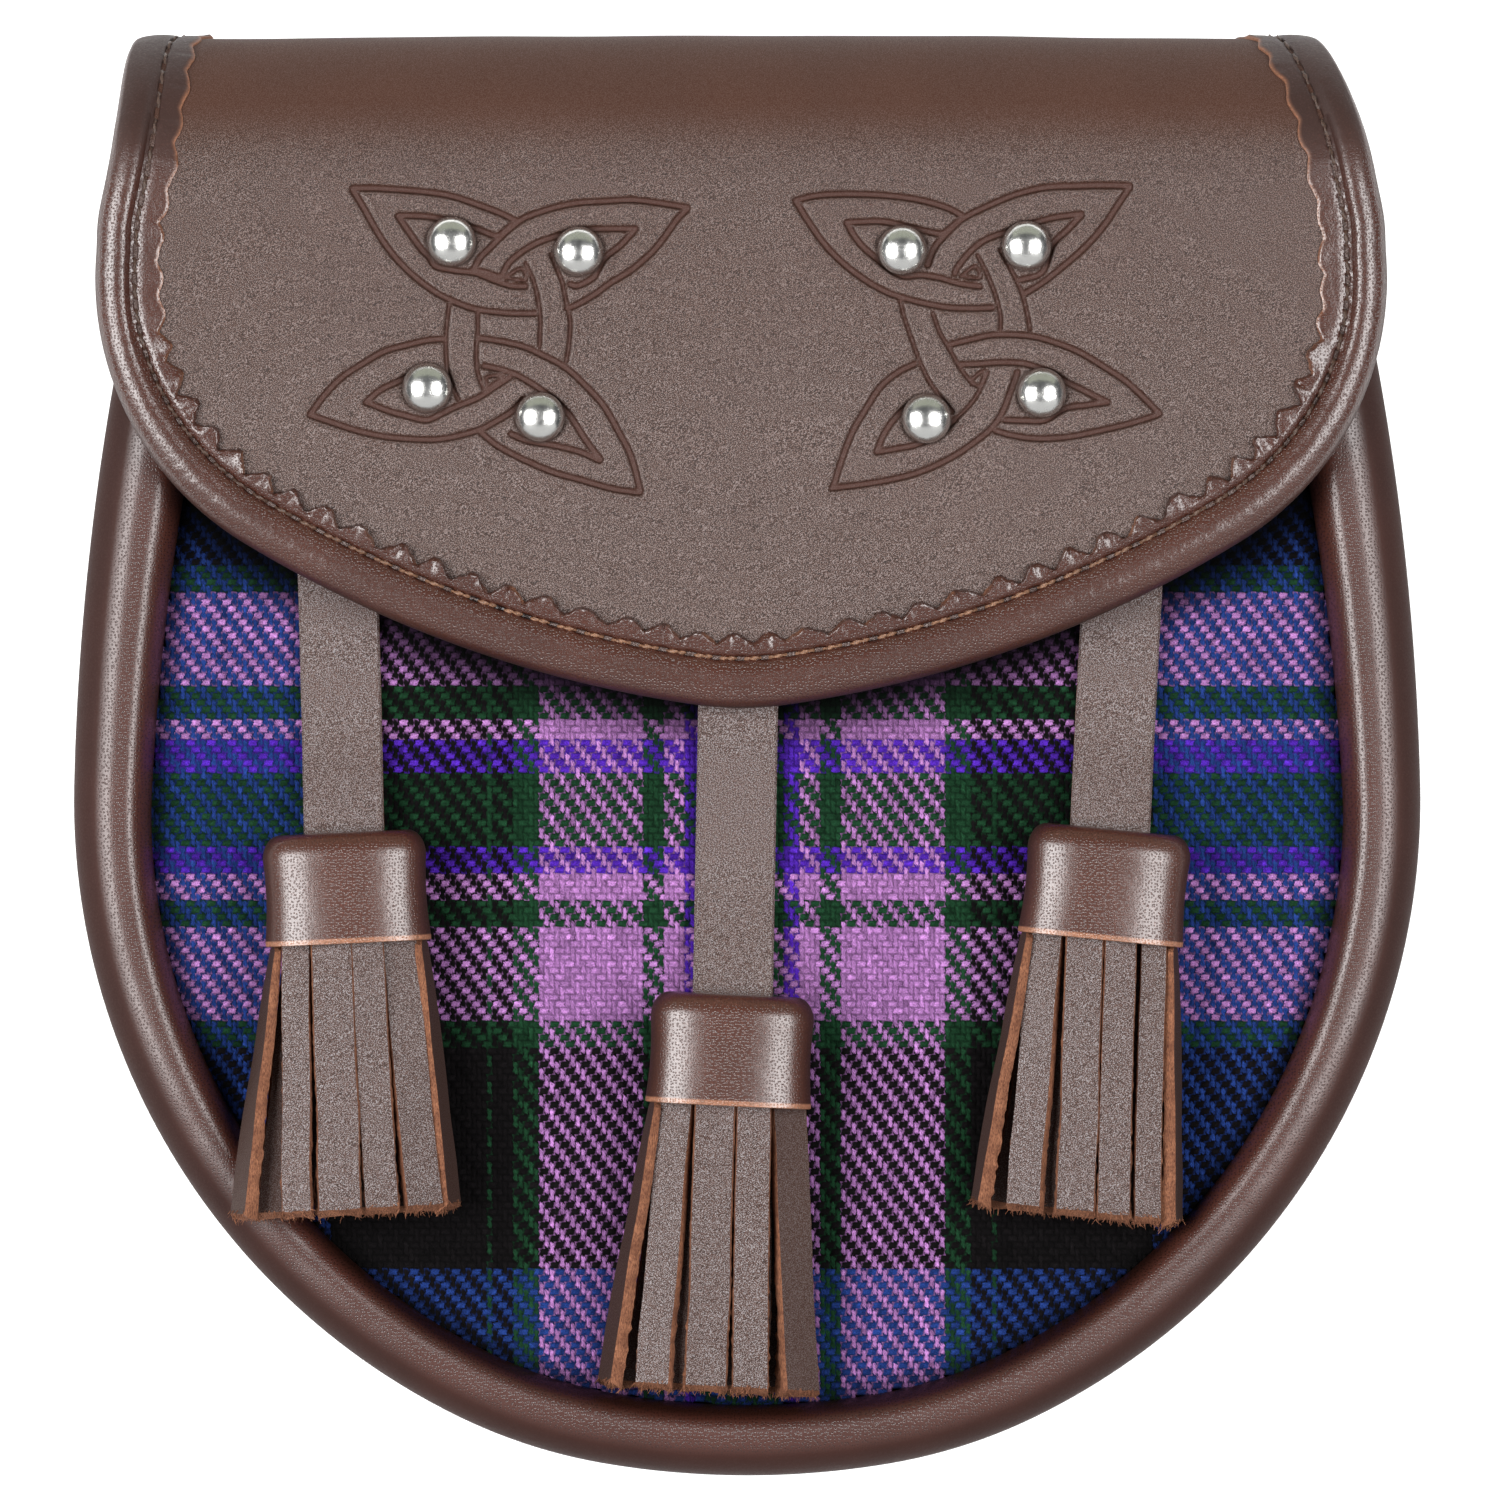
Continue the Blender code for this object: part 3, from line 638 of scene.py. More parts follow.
@dataclass
class Form:
    """Points, faces and marks gathered for one piece."""

    points: list[Array] = field(default_factory=list)
    faces: list[list[int]] = field(default_factory=list)
    parts: list[int] = field(default_factory=list)
    marks: list[Array] = field(default_factory=list)
    count: int = 0

    def add(self, points: Array, faces: Array | Sequence[Sequence[int]], part: int | Sequence[int] = 0,
            mark: Array | Sequence[float] = (0.0, 0.0, 0.0)) -> None:
        """Add a body.

        Args:
            points: Places in millimetres, one row each.
            faces: Point numbers of each face.
            part: Number of the finish, for all faces or for each.
            mark: Three marks, for all points or for each.
        """
        points = np.asarray(points, float).reshape(-1, 3)
        rows = faces.tolist() if isinstance(faces, np.ndarray) else [list(f) for f in faces]
        self.faces += [[k + self.count for k in row] for row in rows]
        self.parts += [int(part)] * len(rows) if np.isscalar(part) else [int(p) for p in part]
        self.marks.append(np.broadcast_to(np.asarray(mark, float), (len(points), 3)))
        self.points.append(points)
        self.count += len(points)

    def add_rings(self, rings: Array, loop: bool = False, part: int | Array = 0, ends: int = 0,
                  mark: Array | Sequence[float] = (0.0, 0.0, 0.0)) -> None:
        """Add a body swept through closed rings of equal count, with flat ends unless it loops.

        Args:
            rings: Places, ring by ring.
            loop: The last ring joins the first.
            part: Number of the finish, for all faces or for each place round the ring.
            ends: Number of the finish at both ends.
            mark: Marks for all points, or for each ring and place.
        """
        rings = np.asarray(rings, float)
        count, around = rings.shape[:2]
        faces = grid_faces(count, around, wrap=True, loop=loop).tolist()
        rows = len(faces) // around
        parts = [int(part)] * len(faces) if np.isscalar(part) else [int(p) for p in part] * rows
        if not loop:
            faces += [list(range(around)), list(range((count - 1) * around, count * around))]
            parts += [ends, ends]
        marks = np.asarray(mark, float)
        self.add(rings.reshape(-1, 3), faces, parts, marks.reshape(-1, 3) if marks.ndim > 1 else marks)

    def make(self, name: str, finishes: Sequence[Finish], nodes: Sequence[str] = (),
             sharp: float = 40.0) -> bpy.types.Object:
        """Make the object, put it on the body and let it stand for its nodes.

        Args:
            name: Name of the piece.
            finishes: Finishes in the order of their numbers.
            nodes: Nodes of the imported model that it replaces.
            sharp: Angle in degrees from which an edge stays sharp.

        Returns:
            The object.
        """
        mesh = bpy.data.meshes.new(name)
        mesh.from_pydata((np.vstack(self.points) * MM).tolist(), [], self.faces)
        mesh.polygons.foreach_set("material_index", self.parts)
        marks = np.column_stack([np.vstack(self.marks), np.ones(self.count)])
        store = mesh.attributes.new("mark", "FLOAT_COLOR", "POINT").data
        store.foreach_set("color", marks.astype(np.float32).ravel())
        work = bmesh.new()
        work.from_mesh(mesh)
        bmesh.ops.recalc_face_normals(work, faces=work.faces)
        work.to_mesh(mesh)
        work.free()
        mesh.shade_smooth()
        mesh.set_sharp_from_angle(angle=math.radians(sharp))
        for finish in finishes:
            mesh.materials.append(finish.material())
        obj = bpy.data.objects.new(name, mesh)
        bpy.context.scene.collection.objects.link(obj)
        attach(obj, "root")
        if nodes:
            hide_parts(*nodes)
        LOG.info("%s: %d faces", name, len(mesh.polygons))
        return obj


def arc_chain(start: Sequence[float], arcs: Sequence[Sequence[float]], step: float) -> Array:
    """Follow a chain of arcs that sets out along +X and turns left.

    Args:
        start: First point.
        arcs: Radius and turn in degrees of each arc.
        step: Length of a step.

    Returns:
        Rows of x, y and heading.
    """
    (x, y), heading = start, 0.0
    rows = [(x, y, heading)]
    for radius, turn in arcs:
        parts = max(1, round(radius * math.radians(turn) / step))
        heart = (x - radius * math.sin(heading), y + radius * math.cos(heading))
        for k in range(1, parts + 1):
            now = heading + math.radians(turn) * k / parts
            rows.append((heart[0] + radius * math.sin(now), heart[1] - radius * math.cos(now), now))
        x, y, heading = rows[-1]
    return np.array(rows)


def both_halves(half: Array) -> Array:
    """Mirror a right half about x = 0.

    Args:
        half: Rows of x, y and heading, from the lowest point.

    Returns:
        Rows of x, y and inward direction, from the left end to the right end.
    """
    right = np.column_stack([half[:, 0], half[:, 1], -np.sin(half[:, 2]), np.cos(half[:, 2])])
    left = right[:0:-1] * (-1, 1, -1, 1)
    return np.vstack([left, right])


@dataclass
class PouchShape:
    """Outline and heights that the pouch's pieces share."""

    start: tuple[float, float] = (0.0, -102.1)
    arcs: Rows = ((120.5, 9.7), (75.8, 16.3), (96.8, 65.3), (381.4, 12.0))
    roll_width: Rows = ((-102.0, 10.0), (-60.0, 10.2), (-10.0, 10.9), (40.0, 12.3), (76.0, 12.3))
    gap: float = 0.3
    face: float = 35.0
    crown: float = 3.6
    crown_reach: tuple[float, float] = (82.0, 88.0)
    crown_y: float = -8.0

    def stations(self, step: float) -> Array:
        """Give stations round the pouch.

        Args:
            step: Length of a step.

        Returns:
            Rows of x, y, inward x, inward y and the roll's width.
        """
        path = both_halves(arc_chain(self.start, self.arcs, step))
        return np.column_stack([path, np.interp(path[:, 1], *np.transpose(self.roll_width))])

    def inset(self, step: float, more: float = 0.0) -> Array:
        """Give the line inside the rolls where the panels end.

        Args:
            step: Length of a step.
            more: How much further in it lies.

        Returns:
            Points of the line.
        """
        x, y, nx, ny, width = self.stations(step).T
        reach = width + self.gap + more
        return np.column_stack([x + nx * reach, y + ny * reach])

    def rise(self, x: Array, y: Array) -> Array:
        """Give the crown of the front.

        Args:
            x: Places across.
            y: Places along.

        Returns:
            Heights above the front's edge.
        """
        across = np.maximum(0.0, 1.0 - (np.asarray(x) / self.crown_reach[0]) ** 2)
        along = np.maximum(0.0, 1.0 - ((np.asarray(y) - self.crown_y) / self.crown_reach[1]) ** 2)
        return self.crown * across * along

    def top(self, x: Array, y: Array) -> Array:
        """Give the height of the front's outer face at a place."""
        return self.face + self.rise(x, y)


@dataclass
class FlapShape:
    """The leather's path over the front, round the fold and behind, and its edge."""

    middle_x: float = -0.85
    start: tuple[float, float] = (0.0, 6.3)
    arcs: Rows = ((43.3, 7.9), (167.2, 23.5), (43.5, 63.3))
    sides: Rows = (
        (69.6, 90.7), (75.3, 90.5), (80.9, 89.4), (86.6, 88.2), (92.9, 86.6), (101.0, 84.6), (109.3, 82.6),
        (120.0, 79.6), (130.0, 75.9), (139.6, 72.0), (147.0, 70.6), (158.0, 69.4))
    thick: float = 2.4
    front_z: float = 44.8
    tail_z: float = 5.3
    bend_y: float = 79.45
    crown: float = 1.6
    crown_width: float = 88.0
    stop: float = 138.0
    step: float = 0.42
    lean: float = -1.3
    lean_left: float = -1.5
    fold_out: tuple[float, float] = (0.85, 0.45)
    lean_from: tuple[float, float] = (82.0, 108.0)

    @property
    def radius(self) -> float:
        """Radius of the fold, at the leather's middle."""
        return (self.front_z - self.tail_z) / 2

    def lay(self, x: Array, along: Array, height: Array) -> Array:
        """Lay points of the flat leather on its path.

        Args:
            x: Places across.
            along: Lengths along the leather from y = 0.
            height: Heights above the leather's middle.

        Returns:
            Places, one row each.
        """
        x, along, height = np.broadcast_arrays(*(np.asarray(v, float) for v in (x, along, height)))
        across = np.maximum(0.0, 1.0 - (x / self.crown_width) ** 2)
        reach = np.clip((along - self.start[1]) / (self.bend_y - self.start[1]), 0.0, 1.0)
        front_z = self.front_z + height + self.crown * across * np.sin(math.pi * reach) ** 2
        angle = np.clip((along - self.bend_y) / self.radius, 0.0, math.pi)
        out = self.radius + height
        past = np.maximum(0.0, along - self.bend_y - math.pi * self.radius)
        bent = self.bend_y + (out + self.fold_out[0] + self.fold_out[1] * across) * np.sin(angle) - past
        y = np.where(along <= self.bend_y, along, bent)
        x = x + (self.lean + self.lean_left * smooth(-x, 20.0, 80.0)) * smooth(along, *self.lean_from)
        z = np.where(along <= self.bend_y, front_z, self.tail_z + self.radius + out * np.cos(angle))
        return np.stack([x, y, z], axis=-1)

    def right_edge(self) -> Array:
        """Give the right edge.

        Returns:
            Rows of half-width, length along and heading.
        """
        front = arc_chain(self.start, self.arcs, self.step)
        rows = [(half, along) for along, half in self.sides[1:]]
        line = curve_through([tuple(front[-1, :2]), *rows], 20)[1:]
        slopes = np.gradient(line, axis=0)
        return np.vstack([front, np.column_stack([line, np.arctan2(slopes[:, 1], slopes[:, 0])])])

    def edge(self) -> Array:
        """Give the edging's even stations.

        Returns:
            Rows of x, length along, inward x and inward along.
        """
        half = self.right_edge()
        path = both_halves(half[half[:, 1] < self.stop])
        length = np.concatenate([[0.0], np.cumsum(np.hypot(*np.diff(path[:, :2], axis=0).T))])
        even = np.linspace(0.0, length[-1], round(length[-1] / self.step) + 1)
        return np.column_stack([np.interp(even, length, path[:, k]) for k in range(4)])

    def on_edge(self, stations: Array, inward: Array, height: Array) -> Array:
        """Lay points measured in from the edge.

        Args:
            stations: Rows of the edge.
            inward: Distances in from the edge.
            height: Heights above the leather's middle.

        Returns:
            Places, one row each.
        """
        x, v, nx, ny = (stations[..., k] for k in range(4))
        return self.lay(self.middle_x + x + nx * inward, v + ny * inward, height)


POUCH = PouchShape()
FLAP = FlapShape()


class Press(Enum):
    """Width of a pressed line's flat bottom, in millimetres."""

    WIDE = 0.66
    FINE = 0.34


Stroke = tuple[Press, tuple[tuple[float, float], ...]]

LEFT_KNOT: tuple[Stroke, ...] = (
    (Press.WIDE, ((-55.5, 79.4), (-52.3, 79.4), (-48.7, 79.2), (-45.1, 78.9), (-41.5, 78.3), (-37.9, 77.1),
        (-34.7, 75.9), (-32.3, 74.7))),
    (Press.WIDE, ((-55.5, 79.2), (-54.1, 76.9), (-52.7, 74.4), (-50.9, 71.5), (-48.7, 68.8), (-46.2, 66.5),
        (-43.7, 64.7), (-41.5, 63.6), (-38.6, 62.5), (-35.4, 62), (-32.5, 61.8), (-29.8, 61.8))),
    (Press.WIDE, ((-48.9, 75.6), (-45.8, 75.5), (-42.9, 75.1), (-38.3, 73.8), (-35.7, 72.8), (-34.7, 72.9),
        (-33.2, 74.2))),
    (Press.WIDE, ((-49.1, 75.5), (-47.6, 73.3), (-45.8, 70.8), (-44.7, 69.7), (-43.7, 68.4), (-40.8, 67.8),
        (-38.3, 67.5), (-35.7, 66.5), (-33.2, 65.7), (-31.2, 65.6))),
    (Press.WIDE, ((-8.4, 76.7), (-12.7, 77.4), (-16.3, 77.8), (-19.9, 77.6), (-23.5, 77.4), (-27.1, 76.7),
        (-30.7, 75.5), (-32.3, 74.6), (-34.3, 72.9), (-36.1, 71.1), (-37.5, 69.7), (-38.4, 68.1))),
    (Press.WIDE, ((-15.7, 73.7), (-19.9, 73.7), (-23.5, 73.5), (-27.1, 72.6), (-29.6, 71.7), (-31.8, 70.4),
        (-33.6, 68.8), (-34.7, 67), (-36.5, 67.5), (-37.9, 67.8))),
    (Press.WIDE, ((-8.4, 76.5), (-9.8, 75.1), (-11.6, 72.6), (-13.4, 70.4), (-16.3, 67.9), (-19.2, 66.1),
        (-21.7, 64.3), (-24.2, 62.9), (-25.3, 62.5))),
    (Press.WIDE, ((-15.7, 73.7), (-17.7, 71.5), (-19.9, 69.7), (-21, 67.9), (-21.7, 66.8), (-23.8, 65.7),
        (-24.9, 65.9))),
    (Press.FINE, ((-31.2, 68.8), (-30.1, 66.5), (-29.4, 63.6), (-29.1, 60.7), (-29.2, 57.1))),
    (Press.FINE, ((-27.6, 70.1), (-26.7, 67.9), (-26, 66.1), (-25.5, 63.6), (-24.9, 60.7), (-25.1, 57.1),
        (-25.5, 54.9))),
    (Press.FINE, ((-34.1, 66.8), (-31.8, 68.1), (-31.2, 66.5), (-34.1, 66.8))),
    (Press.FINE, ((-41.9, 63.2), (-42.2, 60.7), (-42.4, 57.8), (-42.2, 54.2), (-41.5, 51.7), (-40.6, 49.7))),
    (Press.FINE, ((-37.9, 62), (-37.9, 59.2), (-38.1, 56.4), (-37.9, 53.5), (-37, 51))),
    (Press.WIDE, ((-61.5, 47.5), (-59.5, 50.2), (-57, 52.8), (-54.1, 54.7), (-50.9, 56.5), (-47.6, 57.4),
        (-45.1, 58), (-42.8, 58.2))),
    (Press.WIDE, ((-61.5, 47.5), (-58.8, 46.6), (-55.2, 45.4), (-51.2, 44.5), (-46.9, 44.1), (-43.3, 44.1),
        (-39.7, 44.8), (-37.2, 45.6), (-35.7, 46.4), (-33.2, 47.9), (-31.4, 49.7))),
    (Press.WIDE, ((-53.6, 49.3), (-51.6, 51), (-48.7, 52.4), (-46.9, 53.3))),
    (Press.WIDE, ((-53.6, 49.3), (-50.5, 48.1), (-48, 47.4), (-45.1, 46.8), (-42.9, 47.7), (-41.1, 48.6),
        (-37.9, 49.9), (-35.7, 51.3), (-33.4, 52.8))),
    (Press.WIDE, ((-37.4, 58.3), (-34.3, 57.8), (-31.4, 57.1), (-28.9, 56), (-25.6, 54.2), (-22.8, 51.7),
        (-20.2, 48.8), (-18.1, 45.2), (-16.3, 41.6), (-15, 36.7))),
    (Press.WIDE, ((-15.2, 36.6), (-18.8, 37.1), (-23.5, 38.4), (-27.1, 39.4), (-30.7, 40.9), (-33.6, 42.3),
        (-35.7, 43.6), (-37.4, 45))),
    (Press.WIDE, ((-37, 54.4), (-34.3, 53.8), (-31.8, 52.8), (-28.9, 51), (-26.7, 49.2), (-24.9, 47.4),
        (-22.8, 44.1), (-20.6, 41.2))),
    (Press.WIDE, ((-20.8, 41.1), (-23.5, 42.3), (-27.1, 43.2), (-30.7, 43.8), (-33.2, 44.8))),
    (Press.FINE, ((-36.5, 51.3), (-34.3, 52.9), (-36.6, 52.8), (-36.5, 51.3))),
)

RIGHT_KNOT: tuple[Stroke, ...] = (
    (Press.WIDE, ((6.8, 77.7), (9.9, 78.4), (13.8, 78.6), (18, 78.5), (21.5, 78.2), (25, 77.6), (28.5,
        76.5), (30.6, 75.3))),
    (Press.WIDE, ((6.8, 77.7), (8.5, 74.9), (11, 71.4), (13.8, 68.6), (16.6, 66.5), (19.4, 64.9), (21.9,
        64), (25, 63.2), (28.5, 62.6), (32, 62.5), (34.5, 62.6))),
    (Press.WIDE, ((14, 74.6), (16.2, 74.7), (19.4, 74.7), (24.7, 73.5), (27.1, 73), (28.2, 73.5), (29.6,
        74.7))),
    (Press.WIDE, ((14, 74.6), (15.5, 72.1), (17.6, 70), (21.5, 67.2), (24.3, 67.2), (27.1, 66.8), (29.9,
        66), (32.7, 65.6))),
    (Press.WIDE, ((53.8, 79.7), (50.3, 79.8), (46.1, 79.7), (41.9, 79.5), (38, 78.6), (34.5, 77.2), (30.6,
        75.3), (28.5, 73.5), (26.4, 71.1), (25.4, 68.6))),
    (Press.WIDE, ((47, 75.8), (43.3, 75.3), (39.8, 74.4), (36.3, 73.2), (33.4, 72.1), (31.3, 70.4), (29.6,
        68.3), (29.2, 67.4))),
    (Press.WIDE, ((53.8, 79.5), (52.1, 77), (50, 73.9), (47.5, 71.1), (44.3, 68.3), (41.5, 66.1), (39.1,
        64.6))),
    (Press.WIDE, ((47, 75.6), (45, 73.5), (42.9, 71.4), (41.5, 67.6), (38.4, 66.5))),
    (Press.FINE, ((32.4, 70), (33.8, 67.2), (34.9, 64.4), (35.6, 61.6), (35.6, 59.5))),
    (Press.FINE, ((35.6, 70.7), (37.3, 67.6), (38.5, 65.1), (39.2, 62.6), (39.8, 59.5))),
    (Press.FINE, ((30.1, 67), (32, 68.4), (32.7, 66.8), (30.1, 67))),
    (Press.FINE, ((21.5, 63.7), (22.2, 60.9), (23.3, 57.7), (24.3, 54.9), (25.7, 52.1), (27.5, 49.6), (28.9,
        47.9))),
    (Press.FINE, ((26.1, 61.8), (27.1, 59.1), (28.5, 56.7), (29.9, 54.2), (31.7, 51.8))),
    (Press.WIDE, ((58, 47.7), (53.8, 51.8), (50.3, 54.2), (46.8, 56.3), (43.3, 57.7), (39.8, 58.6), (34.9,
        58.8), (31.3, 58.1), (28.5, 57.4))),
    (Press.WIDE, ((57.7, 47.5), (53.8, 46.3), (49.6, 45.3), (45, 44.4), (40.5, 44.2), (37, 44.7), (34.9,
        45.3))),
    (Press.WIDE, ((29.9, 54.6), (32.7, 54.7), (35.6, 54.9), (39.1, 54.7), (42.6, 53.5), (45, 52.1), (47.8,
        50.7), (50.7, 49.3))),
    (Press.WIDE, ((50.7, 49.3), (47.8, 48.9), (44.7, 48.4), (41.9, 46.8), (39.1, 46.7), (36.3, 46.8))),
    (Press.WIDE, ((11.9, 37.2), (12.2, 37.7), (13.3, 41.2), (14.8, 45.1), (16.6, 48.2), (18.7, 51.4), (21.2,
        53.5), (23.6, 54.7))),
    (Press.WIDE, ((11.9, 37.2), (15.9, 37.7), (20.1, 38.4), (24.3, 39.5), (28.5, 41.4), (32, 43.7), (34.5,
        45.8), (35.9, 47.9), (37, 50.7), (38, 53.5))),
    (Press.FINE, ((29.2, 46.8), (31.3, 48.9), (32.7, 51), (33.8, 53.5))),
    (Press.WIDE, ((18.2, 42.3), (19.4, 45.1), (21.2, 47.5), (22.9, 48.9))),
    (Press.WIDE, ((18.2, 42.3), (21.2, 42.8), (24.3, 43.5), (27.1, 45.1), (29.2, 46.8))),
    (Press.FINE, ((31.3, 52.3), (33.3, 53.7), (32.7, 51.6), (31.3, 52.3))),
)


@dataclass
class PressedKnots:
    """Relief of the two interlaced knots pressed into the flap."""

    depth: float = 0.36
    wall: float = 0.4
    pillow: float = 0.12
    pillow_reach: float = 0.4
    steps: int = 10

    def press(self, x: Array, y: Array) -> tuple[Array, Array, Array]:
        """Work out the relief of the pressed lines.

        Args:
            x: Places across.
            y: Places along.

        Returns:
            Heights, each place's mark of its distance to a line, and how far it lies right of and
            below that line.
        """
        margin, side = np.full(x.shape, 1e3), np.zeros(x.shape)
        for press, points in LEFT_KNOT + RIGHT_KNOT:
            line = curve_through(points, self.steps) if len(points) > 3 else np.asarray(points, float)
            low, high = line.min(0) - 2.0, line.max(0) + 2.0
            near = np.nonzero((x > low[0]) & (x < high[0]) & (y > low[1]) & (y < high[1]))[0]
            away, near_x, near_y = self.nearest(x[near], y[near], line)
            less = away - press.value / 2 < margin[near]
            chosen = near[less]
            margin[chosen] = away[less] - press.value / 2
            turned = (x[chosen] - near_x[less] - y[chosen] + near_y[less]) / np.maximum(away[less], 1e-3)
            side[chosen] = np.clip(0.5 + 0.6 * turned, 0.0, 1.0) * smooth(away[less], 0.0, 0.15)
        bottom = 1.0 - smooth(margin, -0.1, self.wall)
        hump = np.exp(-(((margin - self.wall - self.pillow_reach) / self.pillow_reach) ** 2))
        swell = self.pillow * hump * (0.4 + 0.8 * side)
        line = np.clip(0.5 - margin / (2 * LINE_REACH), 0.0, 1.0)
        return swell * (1.0 - bottom) - self.depth * bottom, line, side * (margin < LINE_REACH)

    @staticmethod
    def nearest(x: Array, y: Array, line: Array) -> tuple[Array, Array, Array]:
        """Give each place's distance to a line of straight steps, and the nearest place on it.

        Args:
            x: Places across.
            y: Places along.
            line: Points of the line.

        Returns:
            The distances, and the nearest places across and along.
        """
        best, best_x, best_y = np.full(x.shape, 1e9), x.copy(), y.copy()
        for (x0, y0), (x1, y1) in zip(line, line[1:]):
            dx, dy = x1 - x0, y1 - y0
            t = np.clip(((x - x0) * dx + (y - y0) * dy) / max(dx * dx + dy * dy, 1e-9), 0.0, 1.0)
            px, py = x0 + t * dx, y0 + t * dy
            away = np.hypot(x - px, y - py)
            less = away < best
            best[less], best_x[less], best_y[less] = away[less], px[less], py[less]
        return best, best_x, best_y


@dataclass
class FlapLeather:
    """The flap's leather from its lower edge over the fold to the tail, with the knots pressed in."""

    inset: float = 2.6
    fine: float = 0.3
    knot_x: tuple[tuple[float, float], ...] = ((-62.8, -7.0), (5.6, 59.6))
    knot_y: tuple[float, float] = (35.5, 81.0)
    coarse: float = 2.6
    full_half: float = 70.0
    core_half: float = 64.0
    tail_end: float = 165.2
    tail_corner: float = 8.0
    stud_dent: float = 0.22
    stud_dent_radius: float = 4.0

    def columns(self) -> Array:
        """Give places across for a full-width row, close together over the knots.

        Returns:
            The places, from left to right.
        """
        marks = [-self.core_half, *(v for pair in self.knot_x for v in pair), self.core_half]
        spans = [self.coarse, self.fine, self.coarse, self.fine, self.coarse]
        pieces = [np.linspace(a, b, max(2, round((b - a) / s)), endpoint=False)
                  for a, b, s in zip(marks, marks[1:], spans)]
        outer = self.core_half + np.arange(1, 12) * self.coarse
        return np.concatenate([-outer[::-1], *pieces, [self.core_half], outer])

    def rows(self) -> Array:
        """Give lengths along the leather, close together over the knots.

        Returns:
            The lengths, from the first row to the last.
        """
        low, high = self.knot_y
        return np.concatenate([
            np.array([9.3, 10.0, 11.0, 12.5]), np.arange(14.0, low, 1.5), np.arange(low, high, self.fine),
            np.arange(high, self.tail_end - 1.0, 2.0), [self.tail_end]])

    def half_width(self, along: Array) -> Array:
        """Give the leather's half-width at lengths along it.

        Args:
            along: Lengths along the leather.

        Returns:
            Half-widths.
        """
        x, v, heading = FLAP.right_edge().T
        half = np.interp(along, v + self.inset * np.cos(heading), x - self.inset * np.sin(heading))
        corner = np.clip((along - (self.tail_end - self.tail_corner)) / self.tail_corner, 0.0, 1.0)
        return half - self.tail_corner * (1.0 - np.sqrt(1.0 - corner**2))

    def spread(self, columns: Array, along: Array) -> Array:
        """Fit the columns between the edges of each row.

        Args:
            columns: Places across for a full-width row.
            along: Lengths along the leather.

        Returns:
            Places across, row by row.
        """
        half = self.half_width(along)[:, None]
        core = np.minimum(self.core_half, half * self.core_half / self.full_half)
        size, last = np.abs(columns)[None, :], np.abs(columns).max()
        outer = core + (half - core) * (size - self.core_half) / (last - self.core_half)
        inner = size * core / self.core_half
        return FLAP.middle_x + np.sign(columns)[None, :] * np.where(size <= self.core_half, inner, outer)

    def relief(self, x: Array, along: Array, studs: Sequence[Sequence[float]]) -> tuple[Array, Array]:
        """Work out the face's relief.

        Args:
            x: Places across.
            along: Lengths along the leather.
            studs: Place across and along of each stud.

        Returns:
            Heights, and three marks each: line, dark (painted shade round each stud's foot) and side.
        """
        height, line, side = PressedKnots().press(x, along)
        side = np.maximum(side, smooth(along, 83.0, 91.0))
        dark = np.zeros_like(height)
        for sx, sy in studs:
            away = np.hypot(x - sx, along - sy)
            dent = self.stud_dent * (1.0 - smooth(away, 3.1, self.stud_dent_radius))
            height = height * smooth(away, 2.4, 3.4) - dent
            # painted shade: a dark ring round each stud's foot
            dark = np.maximum(dark, 0.8 * (1.0 - smooth(away, 3.4, 4.0)))
        sway = 0.12 * waves(x + along * 0.4, 63.0, 3) + 0.1 * waves(along - x * 0.3, 47.0, 4)
        return height + sway, np.column_stack([line, dark, side])

    def build(self, studs: Sequence[Sequence[float]]) -> bpy.types.Object:
        """Build the leather as one closed sheet.

        Args:
            studs: Place across and along of each stud.

        Returns:
            The object.
        """
        columns, along = self.columns(), self.rows()
        x = self.spread(columns, along)
        v = np.broadcast_to(along[:, None], x.shape)
        height, marks = self.relief(x.ravel(), v.ravel(), studs)
        face = FLAP.lay(x.ravel(), v.ravel(), FLAP.thick / 2 + height)
        form = Form()
        form.add(face, grid_faces(*x.shape), 0, marks)
        self.close(form, x, v, columns, along)
        return form.make("flap_leather", [FLAP_LEATHER, RAW_LEATHER], ["flap"])

    def close(self, form: Form, x: Array, v: Array, columns: Array, along: Array) -> None:
        """Close the sheet with a plain underside on fewer points.

        Args:
            form: The face, which is added to.
            x: Places across, row by row.
            v: Lengths along, row by row.
            columns: Places across for a full-width row.
            along: Lengths along the leather.
        """
        wide, tall = x.shape[1], x.shape[0]
        c, r = self.thinned(columns), self.thinned(along)
        under = FLAP.lay(x[np.ix_(r, c)].ravel(), v[np.ix_(r, c)].ravel(), -FLAP.thick / 2)
        base = form.count
        form.add(under, [], 0)
        number = base + np.arange(len(r) * len(c)).reshape(len(r), len(c))
        quads = np.stack(
            [number[:-1, :-1], number[1:, :-1], number[1:, 1:], number[:-1, 1:]], axis=-1).reshape(-1, 4)
        form.faces += quads.tolist()
        form.parts += [0] * len(quads)
        sides = []
        for column, first in ((0, 0), (-1, wide - 1)):
            sides += [(number[k, column], number[k + 1, column],
                       [q * wide + first for q in range(r[k + 1], r[k] - 1, -1)]) for k in range(len(r) - 1)]
        for row, first in ((0, 0), (-1, (tall - 1) * wide)):
            sides += [(number[row, k], number[row, k + 1], [first + q for q in range(c[k + 1], c[k] - 1, -1)])
                      for k in range(len(c) - 1)]
        form.faces += [[int(a), int(b), *more] for a, b, more in sides]
        form.parts += [1] * len(sides)

    def thinned(self, line: Array) -> list[int]:
        """Pick places along a line about one coarse step apart, with both ends.

        Args:
            line: Lengths along the line.

        Returns:
            Numbers of the picked places.
        """
        kept = [0]
        for k in range(1, len(line) - 1):
            if line[k] - line[kept[-1]] >= self.coarse and line[-1] - line[k] >= self.coarse * 0.5:
                kept.append(k)
        return [*kept, len(line) - 1]


